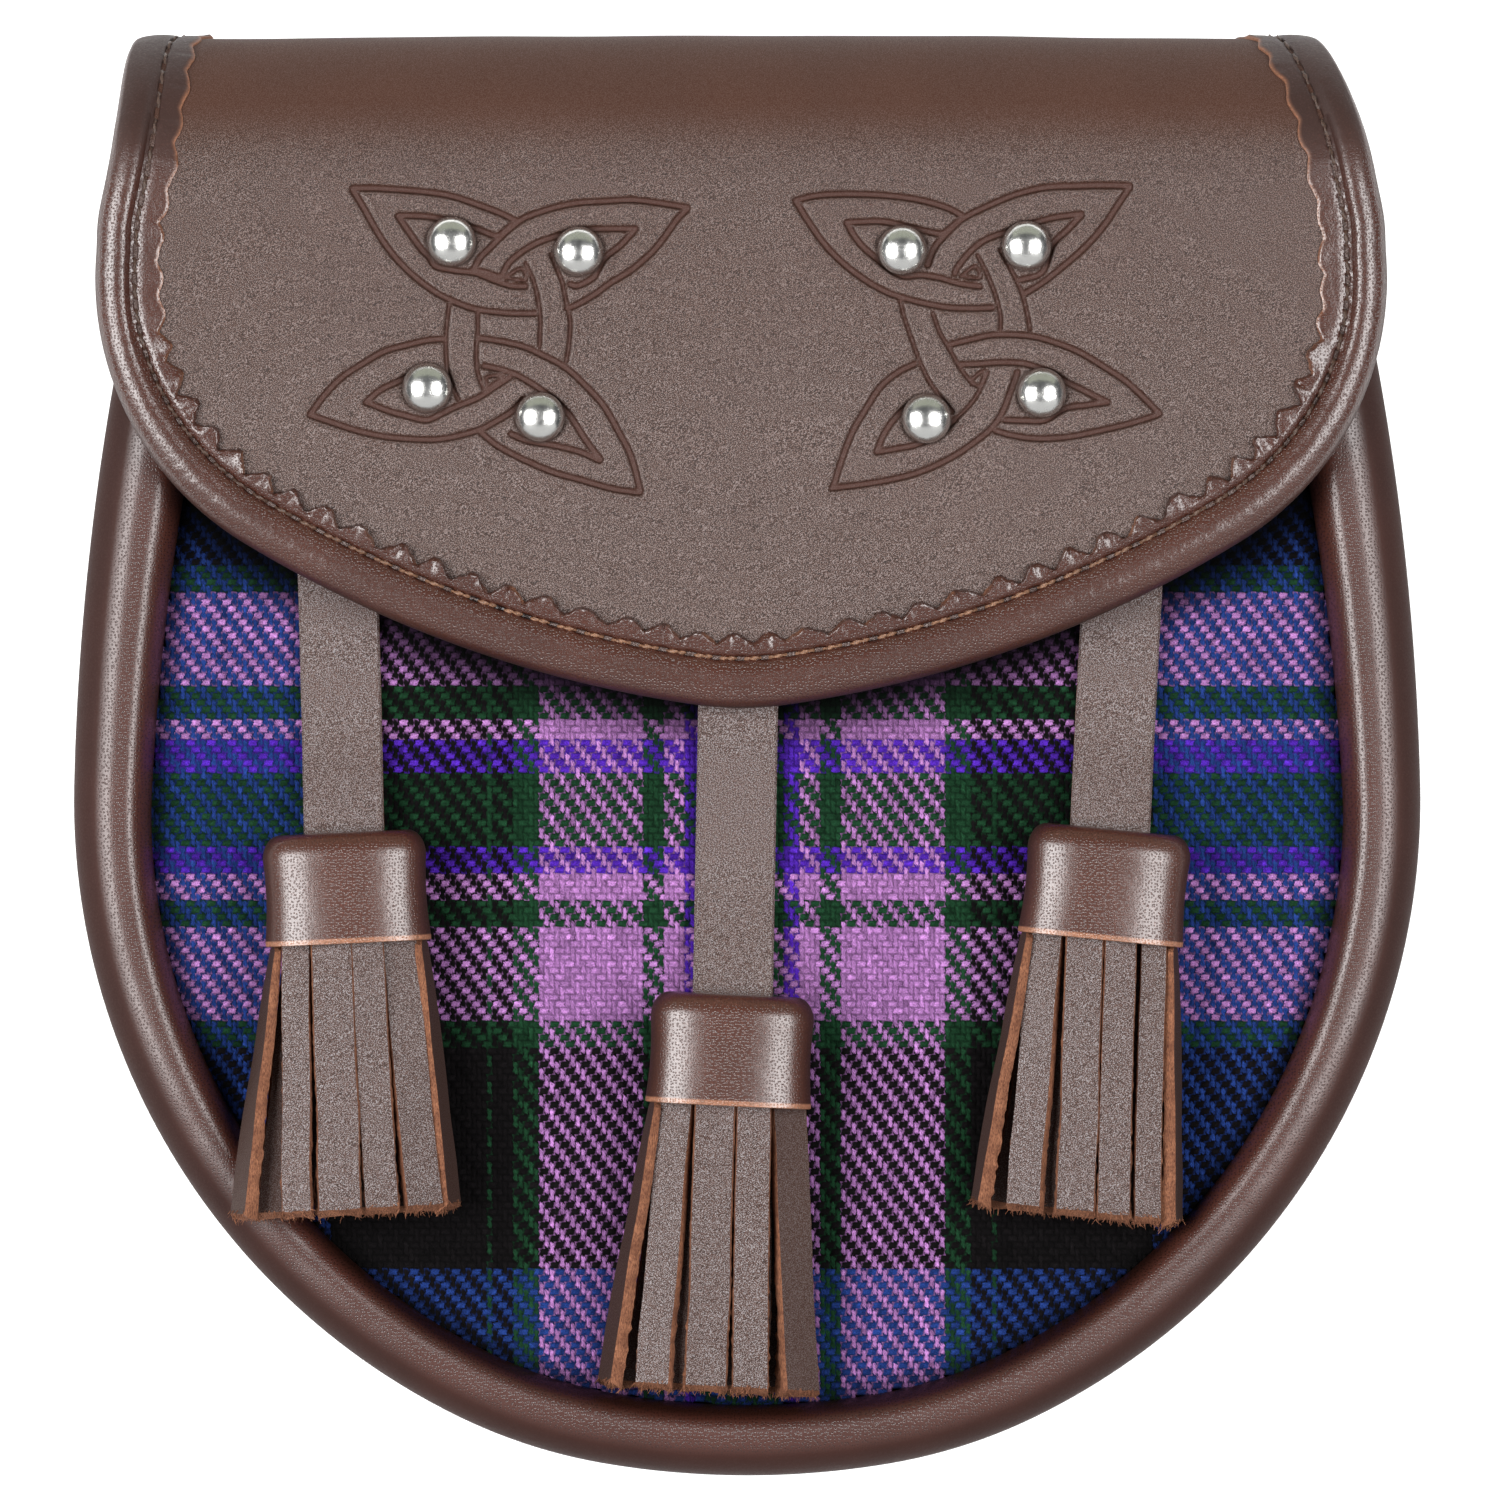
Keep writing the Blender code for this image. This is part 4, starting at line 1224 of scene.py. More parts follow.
@dataclass
class FlapEdging:
    """Leather folded round the flap's edge: a fat bead, a stitched groove and a pinked inner edge."""

    pitch: float = 5.9
    tooth: float = 2.1
    stitch_pitch: float = 4.1
    thread: float = 0.22
    twist: float = 2.1
    hole: float = 1.15
    flat_from: tuple[float, float] = (44.0, 64.0)
    flat_tooth: float = 0.36
    flat_share: float = 0.8
    bead: Rows = (
        (0.0, 0.0), (0.1, 0.7), (0.4, 1.4), (0.85, 2.0), (1.5, 2.48), (2.3, 2.8), (3.1, 2.9), (3.8, 2.8),
        (4.4, 2.55))
    groove: Rows = (
        (-0.75, 2.2), (-0.42, 1.92), (-0.2, 1.72), (0.0, 1.66), (0.2, 1.72), (0.42, 1.95), (0.8, 2.28),
        (1.3, 2.42))
    rim: Rows = ((-1.0, 2.3), (-0.5, 2.34), (-0.22, 2.26), (0.16, 1.6), (0.2, 1.12))
    under: Rows = ((9.0, -1.1), (9.0, -2.3), (7.4, -2.3), (5.7, -2.15), (4.7, -2.6), (3.1, -2.9), (1.4, -2.4),
                   (0.3, -1.3))
    sewn: tuple[float, float] = (0.14, 0.72)
    stitch_steps: int = 13
    stitch_around: int = 8

    def reach(self, stations: Array) -> tuple[Array, Array]:
        """Give the distance in from the edge of the stitches and of the tooth tips."""
        low = 1.0 - smooth(stations[:, 1], 14.0, 62.0)
        return 5.6 + 1.35 * low, 9.4 + 0.9 * low

    def zigzag(self, along: Array) -> Array:
        """Give how far the pinked edge steps back from the tips, for lengths along the edge.

        Args:
            along: Lengths along the edge.

        Returns:
            0 at a tip and 1 in a notch.
        """
        phase = along / self.pitch + 0.12 * waves(along, 31.0, 11)
        saw = np.abs((phase % 1.0) * 2.0 - 1.0)
        return np.clip(saw * 1.25 - 0.22 + 0.12 * waves(along, 2.3, 12), 0.0, 1.0)

    def section(self, stitch: float, tip: float, full: float, thin: float) -> list[tuple[float, float]]:
        """Give the upper half of the section at one station.

        Args:
            stitch: Distance in of the stitches.
            tip: Distance in of the pinked edge.
            full: How full the bead is, from flat at 0 to 1.
            thin: How thick the rest stands, likewise.

        Returns:
            Distance in and height of each point.
        """
        k = (stitch - 0.75) / 4.85
        last = stitch + 1.3
        flat = FLAP.thick / 2 + 0.2
        rows = [(m * k, h, full) for m, h in self.bead] + [(stitch + m, h, thin) for m, h in self.groove]
        rows += [(max(last + 0.05 * (n + 1), tip + m), h, thin) for n, (m, h) in enumerate(self.rim)]
        return [(m, min(h, flat) + max(0.0, h - flat) * share) for m, h, share in rows]

    def build(self) -> None:
        """Build the edging and its stitches."""
        stations = FLAP.edge()
        along = np.arange(len(stations)) * FLAP.step
        stitch, tips = self.reach(stations)
        tips = tips + 0.22 * waves(along, 17.0, 5)
        back = self.zigzag(along)
        holes = np.abs((along / self.stitch_pitch + 0.5) % 1.0 - 0.5) * self.stitch_pitch
        pit = 1.0 - smooth(holes, self.hole * 0.55, self.hole)
        flank = smooth(np.sign(stations[:, 0]) * -np.gradient(back), 0.0, 0.06)
        calm = smooth(stations[:, 1], *self.flat_from)
        raw = np.clip(np.maximum(flank * (0.35 + 1.4 * waves(along, 23.0, 8)), 0.85 * calm), 0.0, 1.0)
        tooth = np.floor(along / self.pitch + 0.12 * waves(along, 31.0, 11) + 0.5).astype(int)
        draw = np.random.default_rng(31)
        raised, tilted = draw.uniform(0.0, 0.6, tooth.max() + 2), draw.normal(0.0, 0.35, tooth.max() + 2)
        phase = along / self.pitch + 0.12 * waves(along, 31.0, 11) + 0.5 - tooth
        full = 1.0 - 0.75 * smooth(stations[:, 1], 84.0, 104.0)
        rest = 1.0 - self.flat_share * calm
        lift = (raised[tooth] + tilted[tooth] * (phase - 0.5) * 2.0) * (1.0 - 0.5 * back) * rest
        crumple = draw.normal(0.0, 0.06, (len(stations), 4))
        deep = 0.65 + 0.35 * smooth(stations[:, 1], 8.0, 18.0)
        depth = self.tooth * deep * (1.0 - (1.0 - self.flat_tooth) * calm)
        rings, marks = [], []
        for k, station in enumerate(stations):
            upper = self.section(stitch[k], tips[k] - depth[k] * back[k], full[k], rest[k])
            section = np.array([*upper, *self.under])
            mark = np.zeros((len(section), 3))
            middle, rim = len(upper) - 10, len(upper) - 3
            section[middle - 1 : middle + 2, 1] -= 0.6 * pit[k]
            # painted shade in the stitch holes
            mark[middle - 1 : middle + 2, 1] = 0.95 * pit[k]
            lifted = lift[k] * np.array((0.15, 0.45, 0.85, 1.0))
            section[rim - 3 : rim + 1, 1] += lifted + crumple[k] * (1.0 - calm[k])
            mark[rim : rim + 3, 0] = raw[k] * np.array((0.2, 1.0, 1.0))
            # dull mark: rougher, and in the finish painted shade, towards the fold and on the bead's outer edge
            mark[:, 2] = float(smooth(station[1], 78.0, 90.0))
            mark[:3, 2] = (0.9, 0.8, 0.4)
            rings.append(FLAP.on_edge(np.broadcast_to(station, (len(section), 4)), section[:, 0], section[:, 1]))
            marks.append(mark)
        form = Form()
        form.add_rings(np.array(rings), mark=np.array(marks))
        form.make("flap_edging", [EDGE_LEATHER], ["flap_binding"], 50.0)
        self.sew(stations, stitch)

    def sew(self, stations: Array, stitch: Array) -> None:
        """Lay one twisted stitch between each two holes.

        Args:
            stations: Rows of the edge.
            stitch: Distance in of the stitches at each row.
        """
        form = Form()
        share = np.linspace(0.0, 1.0, self.stitch_steps)
        length = (len(stations) - 1) * FLAP.step
        for k in range(int(length / self.stitch_pitch)):
            at = (k + self.sewn[0] + self.sewn[1] * share) * self.stitch_pitch / FLAP.step
            row = np.column_stack([np.interp(at, np.arange(len(stations)), stations[:, c]) for c in range(4)])
            inward = np.interp(at, np.arange(len(stations)), stitch) + 0.12 * (share - 0.5)
            height = 1.2 + 0.72 * np.sin(math.pi * share) ** 0.7 - 0.35 * smooth(row[:, 1], *self.flat_from)
            heart = FLAP.on_edge(row, inward, height)
            side = FLAP.on_edge(row, inward + 0.5, height) - heart
            up = FLAP.on_edge(row, inward, height + 0.5) - heart
            side /= np.linalg.norm(side, axis=1, keepdims=True)
            up /= np.linalg.norm(up, axis=1, keepdims=True)
            low = float(1.0 - smooth(row[0, 1], 12.0, 34.0))
            form.add_rings(self.ply(heart, side, up, share, k), mark=(low, 0.0, 0.0))
        form.make("edging_stitches", [THREAD], ())

    def ply(self, heart: Array, side: Array, up: Array, share: Array, number: int) -> Array:
        """Make the rings of one two-ply stitch.

        Args:
            heart: Middle of each ring.
            side: Sideways direction at each.
            up: Upward direction at each.
            share: Share of the stitch's length at each.
            number: Number of the stitch, which turns its ply.

        Returns:
            Rings of places.
        """
        angle = np.linspace(0.0, 2 * math.pi, self.stitch_around, endpoint=False)[None, :]
        turn = (share * self.twist * 2 * math.pi + number * 0.9)[:, None]
        taper = (0.7 + 0.3 * np.sin(math.pi * share) ** 0.3)[:, None]
        radius = self.thread * (1.0 + 0.4 * np.cos(2 * angle - turn)) * taper
        sideways, upward = (radius * np.cos(angle))[..., None], (radius * np.sin(angle))[..., None]
        return heart[:, None] + side[:, None] * sideways + up[:, None] * upward


@dataclass
class DomeStuds:
    """Eight polished domes set in the knots."""

    radius: float = 3.5
    height: float = 2.7
    seat: float = 0.42
    steps: int = 15
    around: int = 56
    foot: Rows = ((0.86, -0.3), (0.95, -0.1), (0.99, 0.2))
    places: Rows = (
        (-41.6, 71.9), (-23.7, 70.5), (-45.0, 51.3), (-29.1, 47.2),
        (21.8, 70.7), (39.3, 71.3), (25.2, 47.0), (41.4, 50.6))

    def profile(self) -> list[tuple[float, float]]:
        """Give the dome's outline.

        Returns:
            Radius and height of each ring, from the foot to the crown.
        """
        rows = [*((self.radius * share, height) for share, height in self.foot), (self.radius, self.seat)]
        for k in range(1, self.steps):
            angle = math.radians(90.0 * k / self.steps)
            rows.append((self.radius * math.cos(angle), self.seat + (self.height - 0.1) * math.sin(angle)))
        return [*rows, (0.04, self.seat + self.height - 0.1)]

    def build(self) -> None:
        """Build each dome square to the leather."""
        for number, (x, along) in enumerate(self.places, start=1):
            across = np.array([x, x + 1, x - 1, x, x])
            down = np.array([along, along, along, along + 1, along - 1])
            spots = FLAP.lay(across, down, FLAP.thick / 2)
            right = spots[1] - spots[2]
            up = np.cross(right, spots[3] - spots[4])
            right, up = right / np.linalg.norm(right), up / np.linalg.norm(up)
            ahead = np.cross(up, right)
            angle = np.linspace(0.0, 2 * math.pi, self.around, endpoint=False)[:, None]
            flat = np.cos(angle) * right + np.sin(angle) * ahead
            rings = [spots[0] + flat * radius + up * height for radius, height in self.profile()]
            form = Form()
            form.add_rings(np.array(rings))
            form.make(f"dome_stud_{number}", [STEEL], [f"stud_{number}"], 60.0)


@dataclass
class Gusset:
    """The wall of the pouch with its fat rolls in front and behind."""

    wall: float = 1.9
    roll: float = 6.15
    front_z: float = 35.35
    rear_z: float = 5.9
    tuck: float = 30.0
    waist: float = 1.0
    top: float = 41.5
    ends: Rows = (
        (83.6, 80.0, 9.6, 4.0, 41.3), (82.5, 84.6, 7.4, 9.4, 40.6), (81.3, 89.4, 5.8, 12.8, 37.2),
        (80.4, 93.2, 4.8, 17.0, 33.0))
    crease: float = 0.14
    crease_at: float = 0.6
    crease_soft: float = 0.11
    crest_in: float = 1.1
    around: int = 64
    wall_steps: int = 12
    step: float = 2.0
    shade: float = 0.8
    shade_reach: tuple[float, float] = (18.0, 17.0)
    shade_soft: float = 13.0
    dull_from: tuple[float, float] = (104.0, 132.0)

    def section(self, width: float, low: float, high: float, crease: float, plump: float) -> Array:
        """Give the closed section at one station.

        Args:
            width: Width of the roll.
            low: Lowest point.
            high: Highest point.
            crease: Share of the crease along the roll, 0 to 1.
            plump: Small change of the roll's fullness.

        Returns:
            Distance in and height of each point.
        """
        half = width / 2
        angle = np.radians(np.linspace(-self.tuck, 180.0, self.around))
        above = np.maximum(0.0, np.sin(angle))
        roll = self.roll + plump
        front_n, front_z = half + half * np.cos(angle), self.front_z + roll * np.sin(angle)
        front_n = front_n + self.crest_in * np.sin(math.pi * front_n / width) * above
        off_crease = (front_n / width - self.crease_at) / self.crease_soft
        dip = self.crease * crease * np.exp(-(off_crease**2)) * above
        rear = np.column_stack([front_n, np.maximum(0.0, self.rear_z - self.roll * np.sin(angle))])
        share = np.linspace(0.0, 1.0, self.wall_steps + 2)[1:-1]
        wall_n = self.waist * half / self.roll * np.sin(math.pi * share)
        wall = np.column_stack([wall_n, self.front_z + (self.rear_z - self.front_z) * share])
        outer = np.vstack([np.column_stack([front_n, front_z - dip]), wall, rear[::-1]])
        outer[:, 1] = low + outer[:, 1] * (high - low) / self.top
        inner = outer + normals_of(outer) * min(self.wall, width * 0.3)
        return np.vstack([outer, inner[::-1]])

    def build(self) -> None:
        """Build the wall round the sides and the bottom, its ends tucked into the fold."""
        rows = POUCH.stations(self.step)
        middle = len(rows) // 2
        along = (np.arange(len(rows)) - middle) * self.step
        plump = 0.09 * waves(along, 41.0, 21) + 0.05 * waves(along, 13.0, 22)
        outer = 2 * self.around + self.wall_steps
        rings, marks, seam = [], [], np.zeros((2 * outer, 3))
        # dull mark: rougher, and painted shade in the finish, from the roll's outer side round the wall and the
        # rear roll
        seam[: self.around, 2] = smooth(np.linspace(-self.tuck, 180.0, self.around), *self.dull_from)
        seam[self.around : outer, 2] = 1.0
        for (x, y, nx, ny, width), more in zip(rows, plump):
            crease = float(smooth(y, -52.0, -26.0) * (1.0 - smooth(y, 42.0, 60.0)))
            n, z = self.section(width, 0.0, self.top, crease, more).T
            rings.append(np.column_stack([x + nx * n, y + ny * n, z]))
            reach = self.shade_reach[0] + self.shade_reach[1] * float(1.0 - smooth(y, -94.0, -55.0))
            marks.append(seam.copy())
            # painted shade on the front roll's inner side by the cloth, reaching further round along the bottom
            left = np.clip((reach - np.arange(self.around)) / self.shade_soft, 0.0, 1.0)
            marks[-1][: self.around, 1] = self.shade * left
        tail = curve_through([(rows[-1, 0], rows[-1, 1], rows[-1, 4], 0.0, self.top), *self.ends], 5)[1:]
        for x, y, width, low, high in tail:
            n, z = self.section(width, low, high, 0.0, 0.0).T
            rings.append(np.column_stack([x - n, np.full_like(n, y), z]))
            rings.insert(0, np.column_stack([n - x, np.full_like(n, y), z]))
            marks = [marks[0], *marks, marks[-1]]
        form = Form()
        form.add_rings(np.array(rings), mark=np.array(marks))
        form.make("gusset_leather", [ROLL_LEATHER], ["gusset"], 70.0)


LILAC, VIOLET, BLUE = linear("875c8e"), linear("3e1c88"), linear("172a5d")
GREEN, BLACK = linear("112d1b"), linear("0a0809")


@dataclass
class WoolFront:
    """Domed front in checked twill, with every yarn crossing in relief."""

    end: float = 0.735
    pick: float = 0.946
    relief: float = 0.42
    sunk: float = 0.36
    squeeze: tuple[float, float] = (0.08, 0.1)
    lean: float = 0.45
    warp_middle: float = -0.7
    weft_middle: float = -7.9
    warp: tuple[tuple[float, Colour], ...] = (
        (5.93, GREEN), (7.76, VIOLET), (10.73, LILAC), (13.97, GREEN), (28.5, LILAC), (32.3, GREEN),
        (35.0, BLACK), (36.3, GREEN), (57.9, BLACK), (200.0, BLUE))
    weft: tuple[tuple[float, Colour], ...] = (
        (5.2, GREEN), (9.46, VIOLET), (12.99, LILAC), (17.08, GREEN), (30.2, LILAC), (34.0, GREEN),
        (65.07, BLACK), (200.0, BLUE))
    hidden_top: float = 41.0
    under_flap: float = 5.2
    end_numbers: tuple[int, int] = (-125, 125)
    pick_numbers: tuple[int, int] = (-64, 104)
    most_yarns: int = 200
    key_row: int = 2000

    @staticmethod
    def stripe(table: Sequence[tuple[float, Colour]], away: Array) -> Array:
        """Give the yarn colour at distances from a stripe pattern's middle line.

        Args:
            table: Rows of where a stripe ends and its colour.
            away: Distances.

        Returns:
            Colours, one row each.
        """
        edges = np.array([row[0] for row in table])
        colours = np.array([row[1] for row in table])
        return colours[np.minimum(np.searchsorted(edges, np.abs(away)), len(table) - 1)]

    def cells(self) -> tuple[Array, Array]:
        """Find the crossings that can be seen.

        Returns:
            End and pick number of each.
        """
        i, j = np.meshgrid(np.arange(*self.end_numbers), np.arange(*self.pick_numbers), indexing="ij")
        x, y = (i + 0.5) * self.end, -(j + 0.5) * self.pick
        opening, cover = POUCH.inset(2.0, -0.55), self.flap_hem(self.under_flap)
        kept = inside(x, y, opening) & ~inside(x, y, cover) & (y < self.hidden_top)
        return i[kept], j[kept]

    def flap_hem(self, inward: float = 0.0) -> Array:
        """Give the flap's hem over the cloth.

        Args:
            inward: How far in from the hem the line lies.

        Returns:
            Points of the line.
        """
        rim = FLAP.right_edge()
        x, y, nx, ny = both_halves(rim[rim[:, 1] < self.hidden_top + 20.0]).T
        return np.column_stack([FLAP.middle_x + x + nx * inward, y + ny * inward])

    @staticmethod
    def warp_up(i: Array, j: Array) -> Array:
        """Tell where a warp end lies over the pick, in a two-and-two twill."""
        return (i - j) % 4 < 2

    def height(self, a: Array, b: Array) -> Array:
        """Give the yarn height at half-step places of the weave.

        Args:
            a: Half-steps across.
            b: Half-steps down.

        Returns:
            Heights from 0 to 1.
        """
        i0, i1, j0, j1 = (a - 1) // 2, a // 2, (b - 1) // 2, b // 2
        heart, corner = (a % 2 == 1) & (b % 2 == 1), (a % 2 == 0) & (b % 2 == 0)
        side = np.where(self.warp_up(i0, j0) | self.warp_up(i1, j1), 0.4, 0.86)
        foot = np.where(self.warp_up(i0, j0) & self.warp_up(i1, j1), 0.86, 0.4)
        mixed_side = self.warp_up(i0, j1) != self.warp_up(i1, j1)
        mixed_foot = self.warp_up(i1, j0) != self.warp_up(i1, j1)
        side, foot = np.where(mixed_side, 0.42, side), np.where(mixed_foot, 0.42, foot)
        return np.where(heart, 1.0, np.where(corner, 0.22, np.where(a % 2 == 0, side, foot)))

    def squeezed(self, a: Array, b: Array) -> tuple[Array, Array]:
        """Give the places of the half-step points, with the weft floats squeezed by the warp.

        Args:
            a: Half-steps across.
            b: Half-steps down.

        Returns:
            Places across and along.
        """
        i0, i1, j0, j1 = (a - 1) // 2, a // 2, (b - 1) // 2, b // 2
        warp = self.warp_up
        upper, lower = (warp(i0, j).astype(float) + warp(i1, j) for j in (j0, j1))
        left, right = (warp(i, j0).astype(float) + warp(i, j1) for i in (i0, i1))
        ends = np.where(b % 2 == 0, upper - lower, 0.0) / 2
        across = np.where(a % 2 == 0, left - right, 0.0) / 2 * self.squeeze[0] + ends * self.lean
        down = ends * self.squeeze[1]
        return (a / 2 + across) * self.end, -(b / 2 + down) * self.pick

    def on_float(self, i: Array, j: Array, a: Array, b: Array) -> Array:
        """Give where each corner lies on the yarn float on top.

        Args:
            i: End number of the crossing.
            j: Pick number of the crossing.
            a: Half-steps across of the corner.
            b: Half-steps down of the corner.

        Returns:
            Place across the yarn, place along the float and a chance number, each from 0 to 1.
        """
        phase = (i - j) % 4
        warp = phase < 2
        side = np.where(warp, a - 2 * i - 1, b - 2 * j - 1)
        run = np.where(warp, b - 2 * j, a - 2 * i) / 2 - ((phase == 1) | (phase == 2))
        first = np.where(warp, j - (phase == 0), i - (phase == 3))
        chance = (np.where(warp, i * 37 + first * 91 + 7, j * 53 + first * 71) * 0.6180339) % 1.0
        side, run = side * np.where(warp, 0.95, 1.05), run * np.where(warp, 0.97, 1.04)
        return np.column_stack([side / 3.0 + 0.5, run / 3.0 + 0.5, chance])

    def shade(self, i: Array, j: Array) -> tuple[Array, Array]:
        """Give the colours of the yarns at each crossing, uneven, and darker beside the roll and under the flap's
        edge with painted shade.

        Args:
            i: End number of each crossing.
            j: Pick number of each crossing.

        Returns:
            Colours of the yarn on top and of the yarn under it.
        """
        draw = np.random.default_rng(7)
        warp_tone, weft_tone = (draw.normal(1.0, 0.12, 2 * self.most_yarns) for _ in range(2))
        speck = draw.normal(1.0, 0.14, len(i))
        x, y = (i + 0.5) * self.end, -(j + 0.5) * self.pick
        hem = PressedKnots.nearest(x, y, POUCH.inset(4.0))[0]
        lap = PressedKnots.nearest(x, y, self.flap_hem()[::4])[0]
        # painted shade beside the rolls and under the flap's edge, times a random tone for each crossing
        soft = (0.35 + 0.65 * smooth(hem, 0.0, 3.2)) * (0.04 + 0.96 * smooth(lap, 0.0, 9.0)) * speck
        warp = self.stripe(self.warp, x - self.warp_middle) * warp_tone[i + self.most_yarns][:, None]
        weft = self.stripe(self.weft, y - self.weft_middle) * weft_tone[j + self.most_yarns][:, None]
        up = self.warp_up(i, j)[:, None]
        return np.where(up, warp, weft) * soft[:, None], np.where(up, weft, warp) * soft[:, None]

    def build(self) -> None:
        """Build the cloth and the ground it is stretched over, as one piece."""
        i, j = self.cells()
        a0, b0, half = 2 * i, 2 * j, self.key_row // 2
        quads = []
        for da, db in ((0, 0), (1, 0), (1, 1), (0, 1)):
            corners = [(a0 + da + u, b0 + db + v) for u, v in ((0, 0), (0, 1), (1, 1), (1, 0))]
            quads.append(np.stack([(b + half) * self.key_row + a + half for a, b in corners], axis=-1))
        keys = np.stack(quads, axis=1).reshape(-1, 4)
        places, numbers = np.unique(keys, return_inverse=True)
        faces = numbers.reshape(-1, 4)
        a, b = places % self.key_row - half, places // self.key_row - half
        lift = self.height(a, b)
        x, y = self.squeezed(a, b)
        points = np.column_stack([x, y, POUCH.top(x, y) - self.sunk + self.relief * lift])
        yarn, under = (np.repeat(tone, 16, axis=0) for tone in self.shade(i, j))
        spot = self.on_float(np.repeat(i, 16), np.repeat(j, 16), a[faces].ravel(), b[faces].ravel())
        form = Form()
        form.add(points, faces)
        skirt = self.skirt(form, faces, points)
        ground = self.ground(form)
        obj = form.make("wool_front", [WOOL], ["front_panel"], 180.0)
        self.colour(obj, dict(zip(YARN_MARKS, (yarn, under, spot))), len(faces), skirt + ground)

    @staticmethod
    def skirt(form: Form, faces: Array, points: Array) -> int:
        """Turn the cloth's edge down into the ground.

        Args:
            form: The cloth, which is added to.
            faces: Faces of the cloth.
            points: Points of the cloth.

        Returns:
            How many faces were added.
        """
        edges = np.vstack([faces[:, [k, (k + 1) % 4]] for k in range(4)])
        _, first, count = np.unique(np.sort(edges, axis=1), axis=0, return_index=True, return_counts=True)
        rim = edges[first[count == 1]]
        used, numbers = np.unique(rim, return_inverse=True)
        numbers = numbers.reshape(-1, 2) + form.count
        form.add(points[used] - (0.0, 0.0, 1.1), [])
        form.faces += np.column_stack([rim[:, 1], rim[:, 0], numbers[:, 0], numbers[:, 1]]).tolist()
        form.parts += [0] * len(rim)
        return len(rim)

    @staticmethod
    def ground(form: Form) -> int:
        """Add the domed ground under the cloth.

        Args:
            form: The cloth, which is added to.

        Returns:
            How many faces were added.
        """
        edge = POUCH.inset(4.0)
        top_y = edge[0, 1]
        across = np.linspace(edge[-1, 0], edge[0, 0], 30)[1:-1]
        edge = np.vstack([edge, np.column_stack([across, np.full_like(across, top_y)])])
        before = len(form.faces)
        rings = []
        for lift, shares in ((33.1, (0.08, 0.5, 1.0)), (34.4, (1.0, 0.86, 0.68, 0.48, 0.28, 0.08))):
            for share in shares:
                x, y = edge[:, 0] * share, POUCH.crown_y + (edge[:, 1] - POUCH.crown_y) * share
                rings.append(np.column_stack([x, y, lift + POUCH.rise(x, y)]))
        form.add_rings(np.array(rings))
        return len(form.faces) - before

    @staticmethod
    def colour(obj: bpy.types.Object, given: dict[str, Array], cloth: int, rest: int) -> None:
        """Write the yarn colours and the places on the floats, and plain black wool elsewhere, as painted shade
        where it shows.

        Args:
            obj: The finished piece.
            given: Name of each attribute and its value at each corner of the cloth's faces.
            cloth: How many faces the cloth has.
            rest: How many faces follow.
        """
        mesh = obj.data
        starts = np.empty(len(mesh.polygons), int)
        mesh.polygons.foreach_get("loop_start", starts)
        # the skirt and the ground are black wool: painted shade where they show beside the rolls and under the
        # flap's edge
        plain = dict(zip(YARN_MARKS, (BLACK, BLACK, (0.5, 0.5, 0.0))))
        for name, values in given.items():
            rows = np.ones((len(mesh.loops), 4), np.float32)
            rows[:, :3] = plain[name]
            corners_of = values.reshape(cloth, 4, 3)
            for corner in range(4):
                rows[starts[:cloth] + corner, :3] = corners_of[:, corner]
            mesh.attributes.new(name, "FLOAT_COLOR", "CORNER").data.foreach_set("color", rows.ravel())
        LOG.info("wool: %d cloth faces, %d others", cloth, rest)


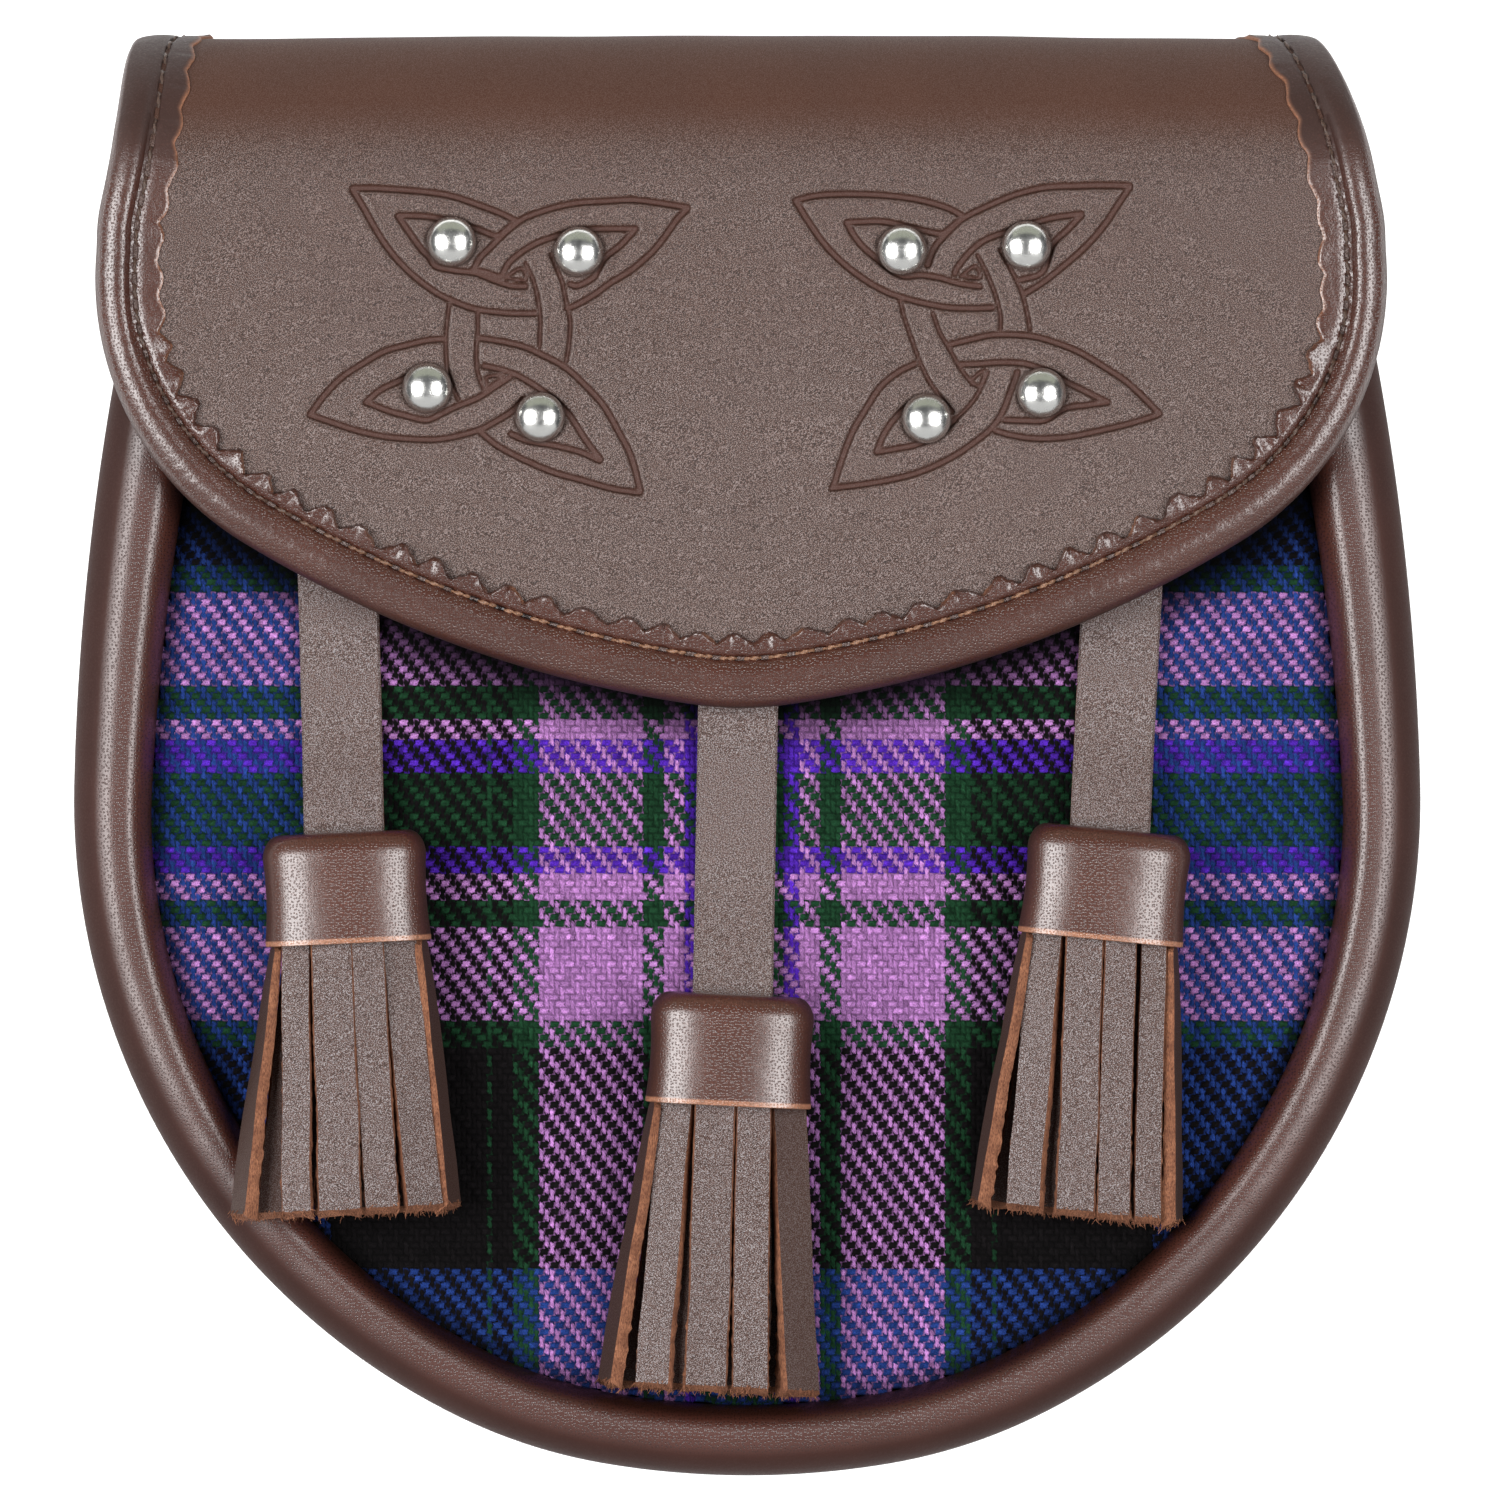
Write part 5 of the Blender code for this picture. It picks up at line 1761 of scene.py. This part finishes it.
@dataclass
class Tassel:
    """One tassel: a strap, a leather cap and a fringe of cut strips."""

    side: str
    strap: tuple[float, float]
    cap: tuple[float, float]
    turn: float
    end: tuple[float, float]
    end_z: float
    tip: float
    rows: Rows
    # painted shade on the fringe's strips, darkest on the side strips and on the hidden ones behind
    strip_shade: tuple[float, ...] = (0.0, 0.04, 0.08, 0.12, 0.95, 0.95)
    behind: float = 0.75
    edge_on: float = 80.0
    side_turn: float = 45.0
    strap_width: float = 11.3
    strap_thick: float = 1.8
    strap_rise: float = 16.0
    cap_half: tuple[float, float] = (11.5, 6.0)
    cap_height: float = 15.6
    cap_wall: float = 1.15
    cap_power: float = 2.6
    shoulder: float = 3.4
    slot_half: tuple[float, float] = (6.4, 1.55)
    slot_sink: float = 1.9
    strip_thick: float = 2.0
    strip_taper: float = 0.95
    end_slant: float = 0.9
    fibre_count: int = 44

    def __post_init__(self) -> None:
        """Work out the frame at the cap's middle."""
        turn = math.radians(self.turn)
        x, y = self.cap
        self.heart = np.array([x, y, float(POUCH.top(x, y)) + POUCH.gap + self.cap_half[1] + 0.2])
        self.across = np.array([math.cos(turn), math.sin(turn), 0.0])
        self.upward = np.array([-math.sin(turn), math.cos(turn), 0.0])
        self.out = np.array([0.0, 0.0, 1.0])

    def build(self) -> None:
        """Build the strap, the cap and the fringe."""
        self.build_strap()
        self.build_cap()
        self.build_fringe()

    def finish(self, form: Form, part: str, finishes: Sequence[Finish], slot: Slot, sharp: float) -> None:
        """Make one piece of the tassel, which stands for the node of that name."""
        form.make(f"tassel_{self.side}_{part}_leather", finishes, [f"tassel_{self.side}_{part}"], sharp)

    def build_strap(self) -> None:
        """Build the flat strap with its raw cut edges."""
        top = np.array([*self.strap, 0.0])
        end = self.heart + self.upward * (self.cap_height / 2 - 3.0)
        length = float(np.hypot(*(end - top)[:2]))
        slot_z = self.heart[2] - self.slot_sink
        share = np.linspace(0.0, 1.0, 48)
        x, y = (top[k] + (end[k] - top[k]) * share for k in (0, 1))
        resting = POUCH.top(x, y) + POUCH.gap + self.strap_thick / 2
        risen = smooth(1.0 - ((1.0 - share) * length - 3.0) / self.strap_rise, 0.0, 1.0)
        z = resting + (slot_z - resting) * risen
        half, thick = self.strap_width / 2, self.strap_thick / 2
        section = [
            (-half + 0.3, thick), (-half * 0.5, thick), (0.0, thick), (half * 0.5, thick), (half - 0.3, thick),
            (half, thick - 0.25), (half, -thick), (0.0, -thick), (-half, -thick), (-half, thick - 0.25)]
        parts = [0, 0, 0, 0, 0, 1, 0, 0, 1, 0]
        rings = [
            [np.array([x[k], y[k], z[k] + h]) + self.across * u for u, h in section] for k in range(len(share))]
        form = Form()
        form.add_rings(np.array(rings), part=parts, ends=1)
        self.finish(form, "strap", [STRIP_LEATHER, RAW_LEATHER], Slot.LEATHER, 35.0)

    def ring(self, half: Sequence[float], sink: float, height: float, power: float, count: int = 64) -> Array:
        """Give a rounded rectangle square to the tassel's length.

        Args:
            half: Half-width and half-depth.
            sink: How far it lies behind the cap's middle.
            height: Height along the strap from the cap's middle.
            power: Squareness.
            count: Points round it.

        Returns:
            Places round the ring.
        """
        angle = 2 * math.pi * (np.arange(count) + 0.5) / count
        a, b = np.cos(angle), np.sin(angle)
        u = half[0] * np.abs(a) ** (2 / power) * np.sign(a)
        w = half[1] * np.abs(b) ** (2 / power) * np.sign(b)
        return self.heart + u[:, None] * self.across + self.upward * height + (w - sink)[:, None] * self.out

    def build_cap(self) -> None:
        """Build the cap: rounded shoulders, a slot above and an open mouth with a raw rim below."""
        top, low, soft = self.cap_height / 2, -self.cap_height / 2, self.cap_power
        full, hollow = np.array(self.cap_half), np.array([h - self.cap_wall for h in self.cap_half])
        rows = [(self.slot_half, self.slot_sink, top - 0.25, 6.0, 0.0), (full * (0.66, 0.5), 1.3, top, 4.0, 0.0)]
        for k in range(9):
            angle = math.radians(90.0 * k / 8)
            back, down = 1.0 - math.sin(angle), self.shoulder * (1.0 - math.cos(angle))
            rows.append((full - np.array((2.5, 2.0)) * back, 0.5 * back, top - down, soft, 0.0))
        for share in np.linspace(0.0, 1.0, 14)[1:]:
            height = (top - self.shoulder) + (low + 0.85 - top + self.shoulder) * share
            waist = np.array((0.3, 0.24)) * math.sin(math.pi * share) - np.array((0.14, 0.1)) * share
            rows.append((full - waist, 0.0, height, soft, 0.0))
        rows += [
            (full + (0.17, 0.13), 0.0, low + 0.62, soft, 1.0), (full + (0.16, 0.12), 0.0, low + 0.08, soft, 1.0),
            (full - (0.1, 0.1), 0.0, low - 0.02, soft, 1.0), (hollow + (0.1, 0.1), 0.0, low, soft, 1.0),
            (hollow, 0.0, 0.0, soft, 1.0), (hollow * 0.98, 0.0, top - self.shoulder, soft, 1.0),
            (hollow * 0.88, 0.3, top - self.cap_wall, 3.0, 1.0),
            (self.slot_half, self.slot_sink, top - self.cap_wall, 6.0, 1.0)]
        rings = np.array([self.ring(size, sink, height, power) for size, sink, height, power, _ in rows])
        marks = np.zeros((*rings.shape[:2], 3))
        marks[:, :, 0] = np.array([row[4] for row in rows])[:, None]
        around = 2 * math.pi * (np.arange(rings.shape[1]) + 0.5) / rings.shape[1]
        # dull mark on the cap's sides and back: rougher, and painted shade in the finish
        marks[:, :, 2] = 1.0 - smooth(np.sin(around), 0.25, 0.7)
        form = Form()
        form.add_rings(rings, loop=True, mark=marks)
        self.finish(form, "cap", [CAP_LEATHER], Slot.SOFT_LEATHER, 60.0)

    def strip(self, row: Sequence[float], number: int) -> Array:
        """Give the rings of one strip of the fringe.

        Args:
            row: Place across the end, width, turn, depth at the end, place across the cap, depth there.
            number: The strip's number, which sets its small sway.

        Returns:
            Rings of places.
        """
        end_u, width, turn, end_w, top_u, top_w = row
        draw = np.random.default_rng(number * 17 + len(self.side))
        end = np.array([*self.end, self.end_z])
        start = self.heart - self.upward * (self.cap_height / 2)
        share = np.concatenate([[-0.1, -0.04], np.linspace(0.0, 0.985, 52), [1.0]])
        spread = np.clip(share, 0.0, 1.0)
        inside_cap = start - self.upward * share[:, None] * 45.0
        axis = np.where((share > 0)[:, None], start + (end - start) * share[:, None], inside_cap)
        u = top_u + (end_u - top_u) * spread + 0.22 * waves(share * 40.0, 33.0, number) * np.clip(share, 0, 1)
        w = top_w + (end_w - top_w) * spread
        half = width / 2 * (self.strip_taper + (1 - self.strip_taper) * spread)
        sideways = abs(turn) > self.side_turn
        if sideways:
            half = np.where(share <= 0, 1.9, half)
        first = math.copysign(self.edge_on, turn) if sideways else turn * 0.85
        lean = np.radians(first + (turn - first) * spread) + 0.05 * waves(share * 40.0, 46.0, number + 50)
        flat = self.across * np.cos(lean)[:, None] + self.out * np.sin(lean)[:, None]
        face = self.out * np.cos(lean)[:, None] - self.across * np.sin(lean)[:, None]
        heart = axis + self.across * u[:, None] + self.out * (w + self.tip * u * spread)[:, None]
        thick = self.strip_thick / 2 * np.where(share > 0, 0.8 + 0.2 * smooth(share, 0.0, 0.15), 0.8)
        thick = thick * (0.6 + 0.4 * spread if sideways else 1.0)
        section = [(-1.0, 0.55), (-0.93, 1.0), (-0.5, 1.0), (0.0, 1.0), (0.5, 1.0), (0.93, 1.0), (1.0, 0.55),
                   (1.0, -0.35), (0.92, -1.0), (0.3, -1.0), (-0.3, -1.0), (-0.92, -1.0), (-1.0, -0.35)]
        raw = np.array([1.0 if t < 0.6 and abs(s) > 0.9 else 0.0 for s, t in section])
        ragged = draw.uniform(0.2, 1.0, len(section)) * raw + draw.normal(0.0, 0.1, len(section))
        rings = []
        for k in range(len(share)):
            fray = draw.normal(0.0, 0.11, (len(section), 2)) * raw[:, None] * max(0.25, share[k])
            ring = [heart[k] + flat[k] * (half[k] * s + fray[n, 0]) + face[k] * thick[k] * (t + fray[n, 1])
                    for n, (s, t) in enumerate(section)]
            if k == len(share) - 1:
                cut = [ragged[n] * 0.5 + self.end_slant * (0.5 - t / 2) for n, (_, t) in enumerate(section)]
                ring = [place - self.upward * back for place, back in zip(ring, cut)]
            rings.append(ring)
        return np.array(rings)

    def build_fringe(self) -> None:
        """Build the strips round a head inside the cap, with loose fibres at the cut ends."""
        form = Form()
        parts = [1, 0, 0, 0, 0, 1, 1, 1, 1, 1, 1, 1, 1]
        inner = [h - self.cap_wall - 2.4 for h in self.cap_half]
        head = [self.ring(inner, 0.0, h, self.cap_power, 32) for h in (3.0, -self.cap_height / 2 + 0.6)]
        form.add_rings(np.array(head), part=1, ends=1)
        for number, row in enumerate(self.rows):
            rings = self.strip(row, number)
            form.add_rings(rings, part=parts, ends=1, mark=(0.0, self.strip_shade_of(number), 0.0))
            self.fibres(form, rings, number)
        self.finish(form, "fringe", [STRIP_LEATHER, RAW_LEATHER], Slot.LEATHER, 38.0)

    def strip_shade_of(self, number: int) -> float:
        """Give how much painted shade darkens a strip: the ones in front as listed, the hidden ones behind most.
        """
        return self.strip_shade[number] if number < len(self.strip_shade) else self.behind

    def fibres(self, form: Form, rings: Array, number: int) -> None:
        """Add short loose fibres to a strip's cut end.

        Args:
            form: The fringe, which is added to.
            rings: The strip's rings.
            number: The strip's number, which seeds the fibres.
        """
        draw = np.random.default_rng(900 + number + 40 * len(self.side))
        last, before = rings[-1], rings[-3]
        ahead = last.mean(0) - before.mean(0)
        ahead /= np.linalg.norm(ahead)
        for _ in range(self.fibre_count):
            a, b = draw.integers(0, len(last), 2)
            foot = last[a] + (last[b] - last[a]) * draw.uniform(0, 1)
            foot = foot - ahead * draw.uniform(0.1, 0.5)
            way = ahead + draw.normal(0.0, 0.45, 3)
            way /= np.linalg.norm(way)
            side = np.cross(way, draw.normal(0, 1, 3))
            side /= np.linalg.norm(side)
            lift = np.cross(way, side)
            size, length = draw.uniform(0.05, 0.13), draw.uniform(0.5, 1.25)
            curl = side * draw.normal(0.0, 0.25)
            fibre = []
            for t in (0.0, 0.5, 1.0):
                heart = foot + way * length * t + curl * t * t
                reach = size * (1.0 - 0.7 * t)
                around = [side * math.cos(g) + lift * math.sin(g) for g in (0.0, 2.1, 4.2)]
                fibre.append([heart + out * reach for out in around])
            form.add_rings(np.array(fibre), part=1, ends=1)


TASSELS = (
    Tassel("left", (-58.1, 38.0), (-56.5, -19.0), 2.7, (-57.0, -64.1), 45.2, -0.12, (
        (-6.15, 4.3, 9, 2.7, -7.3, 2.0), (-0.15, 6.2, 0, 3.1, -2.3, 3.3), (5.55, 4.9, -2, 2.9, 2.65, 3.2),
        (11.3, 5.5, -18, 2.4, 7.0, 1.5), (-13.9, 6.4, 68, 0.3, -10.2, -0.6), (15.0, 6.0, -72, -0.5, 10.2, -0.6),
        (-9.3, 5.0, 26, 0.1, -6.5, 0.0), (8.7, 4.8, -14, 0.2, 5.0, 0.0),
        (-8.2, 8.2, -4, -2.9, -5.2, -1.9), (0.2, 8.4, 2, -2.9, 0.4, -2.5), (9.2, 8.4, 3, -2.9, 5.8, -1.9))),
    Tassel("middle", (-1.0, 22.0), (-2.3, -41.8), -2.8, (-5.4, -89.1), 40.2, 0.0, (
        (-7.7, 5.3, 22, 2.4, -7.2, 1.2), (-0.4, 6.05, 0, 3.1, -1.8, 3.3), (5.7, 5.2, -2, 2.9, 3.6, 3.0),
        (12.7, 5.5, -28, 1.8, 8.4, 0.6), (-14.0, 6.2, 71, 0.2, -10.2, -0.6), (11.4, 4.6, -58, -0.7, 8.6, -1.2),
        (-5.2, 4.8, 20, 0.2, -4.4, 0.0), (6.4, 4.2, -12, 0.1, 4.4, 0.0),
        (-8.4, 8.0, 3, -2.9, -5.2, -1.9), (0.2, 8.4, -2, -2.9, 0.3, -2.5), (8.8, 8.2, -3, -2.9, 5.8, -1.9)),
        (0.0, 0.1, 0.04, 0.75, 0.95, 0.95)),
    Tassel("right", (53.7, 38.0), (50.5, -18.5), -5.7, (46.7, -64.4), 41.4, -0.02, (
        (-7.6, 5.3, 22, 2.4, -7.6, 1.1), (-0.5, 5.65, 0, 3.1, -2.25, 3.3), (4.75, 4.8, -1, 3.0, 2.8, 3.2),
        (9.5, 3.9, -4, 2.6, 7.5, 1.8), (-13.9, 6.0, 80, 0.0, -10.3, -0.6), (13.4, 6.0, -78, 0.0, 10.2, -0.6),
        (-4.6, 4.8, 18, 0.1, -4.2, 0.0), (7.0, 4.6, -12, 0.0, 5.0, 0.0),
        (-8.4, 8.0, 4, -2.9, -5.2, -1.9), (0.0, 8.2, -2, -2.9, 0.2, -2.5), (8.6, 8.0, -3, -2.9, 5.8, -1.9))),
)


@dataclass
class PouchBack:
    """Flat back between the rear rolls, and the two belt loops on it."""

    low: float = 6.8
    top: tuple[float, float] = (70.5, 78.5)
    loop_x: float = 40.0
    loop_y: float = 32.0
    loop_width: float = 16.0
    loop_thick: float = 1.7
    loop_round: float = 0.12
    edge_rows: Rows = (
        (0.5, 0.0), (0.985, 0.0), (0.996, 0.25), (1.0, 0.8), (1.0, 1.2), (0.996, 1.75), (0.985, 2.0), (0.5, 2.0))
    loop_path: Rows = (
        (-22.0, 5.62), (-15.6, 5.62), (-14.6, 5.2), (-12.6, 1.6), (-11.4, 1.17), (11.4, 1.17), (12.6, 1.6),
        (14.6, 5.2), (15.6, 5.62), (22.0, 5.62))

    def build(self) -> None:
        """Build the back and its two belt loops."""
        edge = POUCH.inset(3.0)
        edge = np.vstack([[(-self.top[0], self.top[1])], edge, [self.top]])
        rings = []
        for share, z in self.edge_rows:
            rings.append(np.column_stack([edge * share, np.full(len(edge), self.low + z)]))
        form = Form()
        form.add_rings(np.array(rings))
        form.make("back_leather", [BACK_LEATHER], ["back_panel"])
        for side, x in (("left", -self.loop_x), ("right", self.loop_x)):
            self.build_loop(side, x)

    def build_loop(self, side: str, x: float) -> None:
        """Build one belt loop.

        Args:
            side: Name of the side.
            x: Its place across.
        """
        path = np.array([(self.loop_y + y, z) for y, z in self.loop_path])
        normal = normals_of(path)
        half = self.loop_thick / 2
        section = np.vstack([path + normal * half, (path - normal * half)[::-1]])
        rings = []
        for share in (-1.0, -0.97, -0.5, 0.0, 0.5, 0.97, 1.0):
            pressed, shrink = section.copy(), self.loop_round if abs(share) == 1.0 else 0.0
            pressed[:, 1] += shrink * np.where(np.arange(len(section)) < len(path), -1, 1)
            rings.append(np.column_stack([np.full(len(section), x + share * self.loop_width / 2), pressed]))
        form = Form()
        form.add_rings(np.array(rings), ends=1)
        form.make(f"belt_loop_{side}_leather", [BACK_LEATHER, RAW_LEATHER], [f"belt_loop_{side}"])


@dataclass
class Studio:
    """Pale floor, soft lights and the camera."""

    frame_width: float = 211.7
    centre: tuple[float, float] = (0.4, 0.4)
    plane: float = 38.0
    distance: float = 2400.0
    sensor: float = 36.0
    reach: float = 1.3
    floor_reach: float = 6.0
    sky: Colour = (0.9, 0.94, 1.0)
    sky_bright: float = 0.07

    def soft_box(self, name: str, bearing: float, fall: tuple[float, float], spread: float, bright: float,
                 colour: Colour = (1.0, 1.0, 1.0)) -> None:
        """Hang a soft box that faces the object.

        Args:
            name: Name of the lamp.
            bearing: Direction seen from above, in degrees from +X.
            fall: Angles from straight up between which it hangs.
            spread: Half its sideways angle.
            bright: Brightness of its face.
            colour: Colour of its light.
        """
        high, turn = math.radians(sum(fall) / 2), math.radians(bearing)
        away = np.array([math.sin(high) * math.cos(turn), math.sin(high) * math.sin(turn), math.cos(high)])
        down = np.array([math.cos(high) * math.cos(turn), math.cos(high) * math.sin(turn), -math.sin(high)])
        wide = 2 * self.reach * math.tan(math.radians(fall[1] - fall[0]) / 2)
        tall = 2 * self.reach * math.tan(math.radians(spread))
        data = bpy.data.lights.new(name, "AREA")
        data.shape, data.size, data.size_y, data.color = "RECTANGLE", wide, tall, colour
        data.energy = math.pi * wide * tall * bright
        obj = bpy.data.objects.new(name, data)
        bpy.context.scene.collection.objects.link(obj)
        turned = np.column_stack([down, np.cross(away, down), away, away * self.reach])
        obj.matrix_world = Matrix(np.vstack([turned, (0, 0, 0, 1)]).tolist())
        obj.visible_camera = False

    def build(self) -> None:
        """Build the floor, lights, sky and camera."""
        floor = bpy.data.meshes.new("floor")
        ends = [(x * self.floor_reach, y * self.floor_reach, 0) for x, y in ((-1, -1), (1, -1), (1, 1), (-1, 1))]
        floor.from_pydata(ends, [], [(0, 1, 2, 3)])
        floor.materials.append(Paper("pale_floor").material())
        ground = bpy.data.objects.new("floor", floor)
        bpy.context.scene.collection.objects.link(ground)
        self.soft_box("soft_box_left", 178.0, (22.0, 56.0), 17.0, 12.8)
        self.soft_box("soft_box_right", 2.0, (18.0, 48.0), 17.0, 11.0)
        self.soft_box("card_near", 270.0, (27.0, 86.0), 60.0, 0.6)
        self.soft_box("card_far", 90.0, (48.0, 86.0), 46.0, 0.36, (0.95, 1.0, 0.78))
        world = bpy.data.worlds.new("studio")
        world.use_nodes = True
        backdrop = world.node_tree.nodes["Background"]
        backdrop.inputs[0].default_value = (*self.sky, 1.0)
        backdrop.inputs[1].default_value = self.sky_bright
        bpy.context.scene.world = world
        camera = bpy.data.cameras.new("camera")
        camera.sensor_width = self.sensor
        camera.lens = self.sensor * self.distance / self.frame_width
        camera.clip_start, camera.clip_end = 0.1, 20.0
        eye = bpy.data.objects.new("camera", camera)
        bpy.context.scene.collection.objects.link(eye)
        eye.location = (self.centre[0] * MM, self.centre[1] * MM, (self.plane + self.distance) * MM)
        bpy.context.scene.camera = eye
        bpy.context.scene.view_settings.view_transform = "Standard"


def dress_snap(node: bpy.types.Object) -> None:
    """Give the hidden press fastener its steel."""
    node.data.materials.clear()
    node.data.materials.append(STEEL.material())


def corners(box: tuple) -> list[list[float]]:
    """Turn a box's two corners into plain lists."""
    return [[float(v) for v in corner] for corner in box]


def main() -> None:
    """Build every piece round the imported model."""
    logging.basicConfig(level=logging.INFO, format="%(name)s %(message)s")
    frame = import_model()
    studs = DomeStuds()
    FlapLeather().build(studs.places)
    FlapEdging().build()
    studs.build()
    Gusset().build()
    WoolFront().build()
    for tassel in TASSELS:
        tassel.build()
    PouchBack().build()
    dress_snap(frame["nodes"]["flap_snap"])
    Studio().build()


if __name__ == "__main__":
    main()
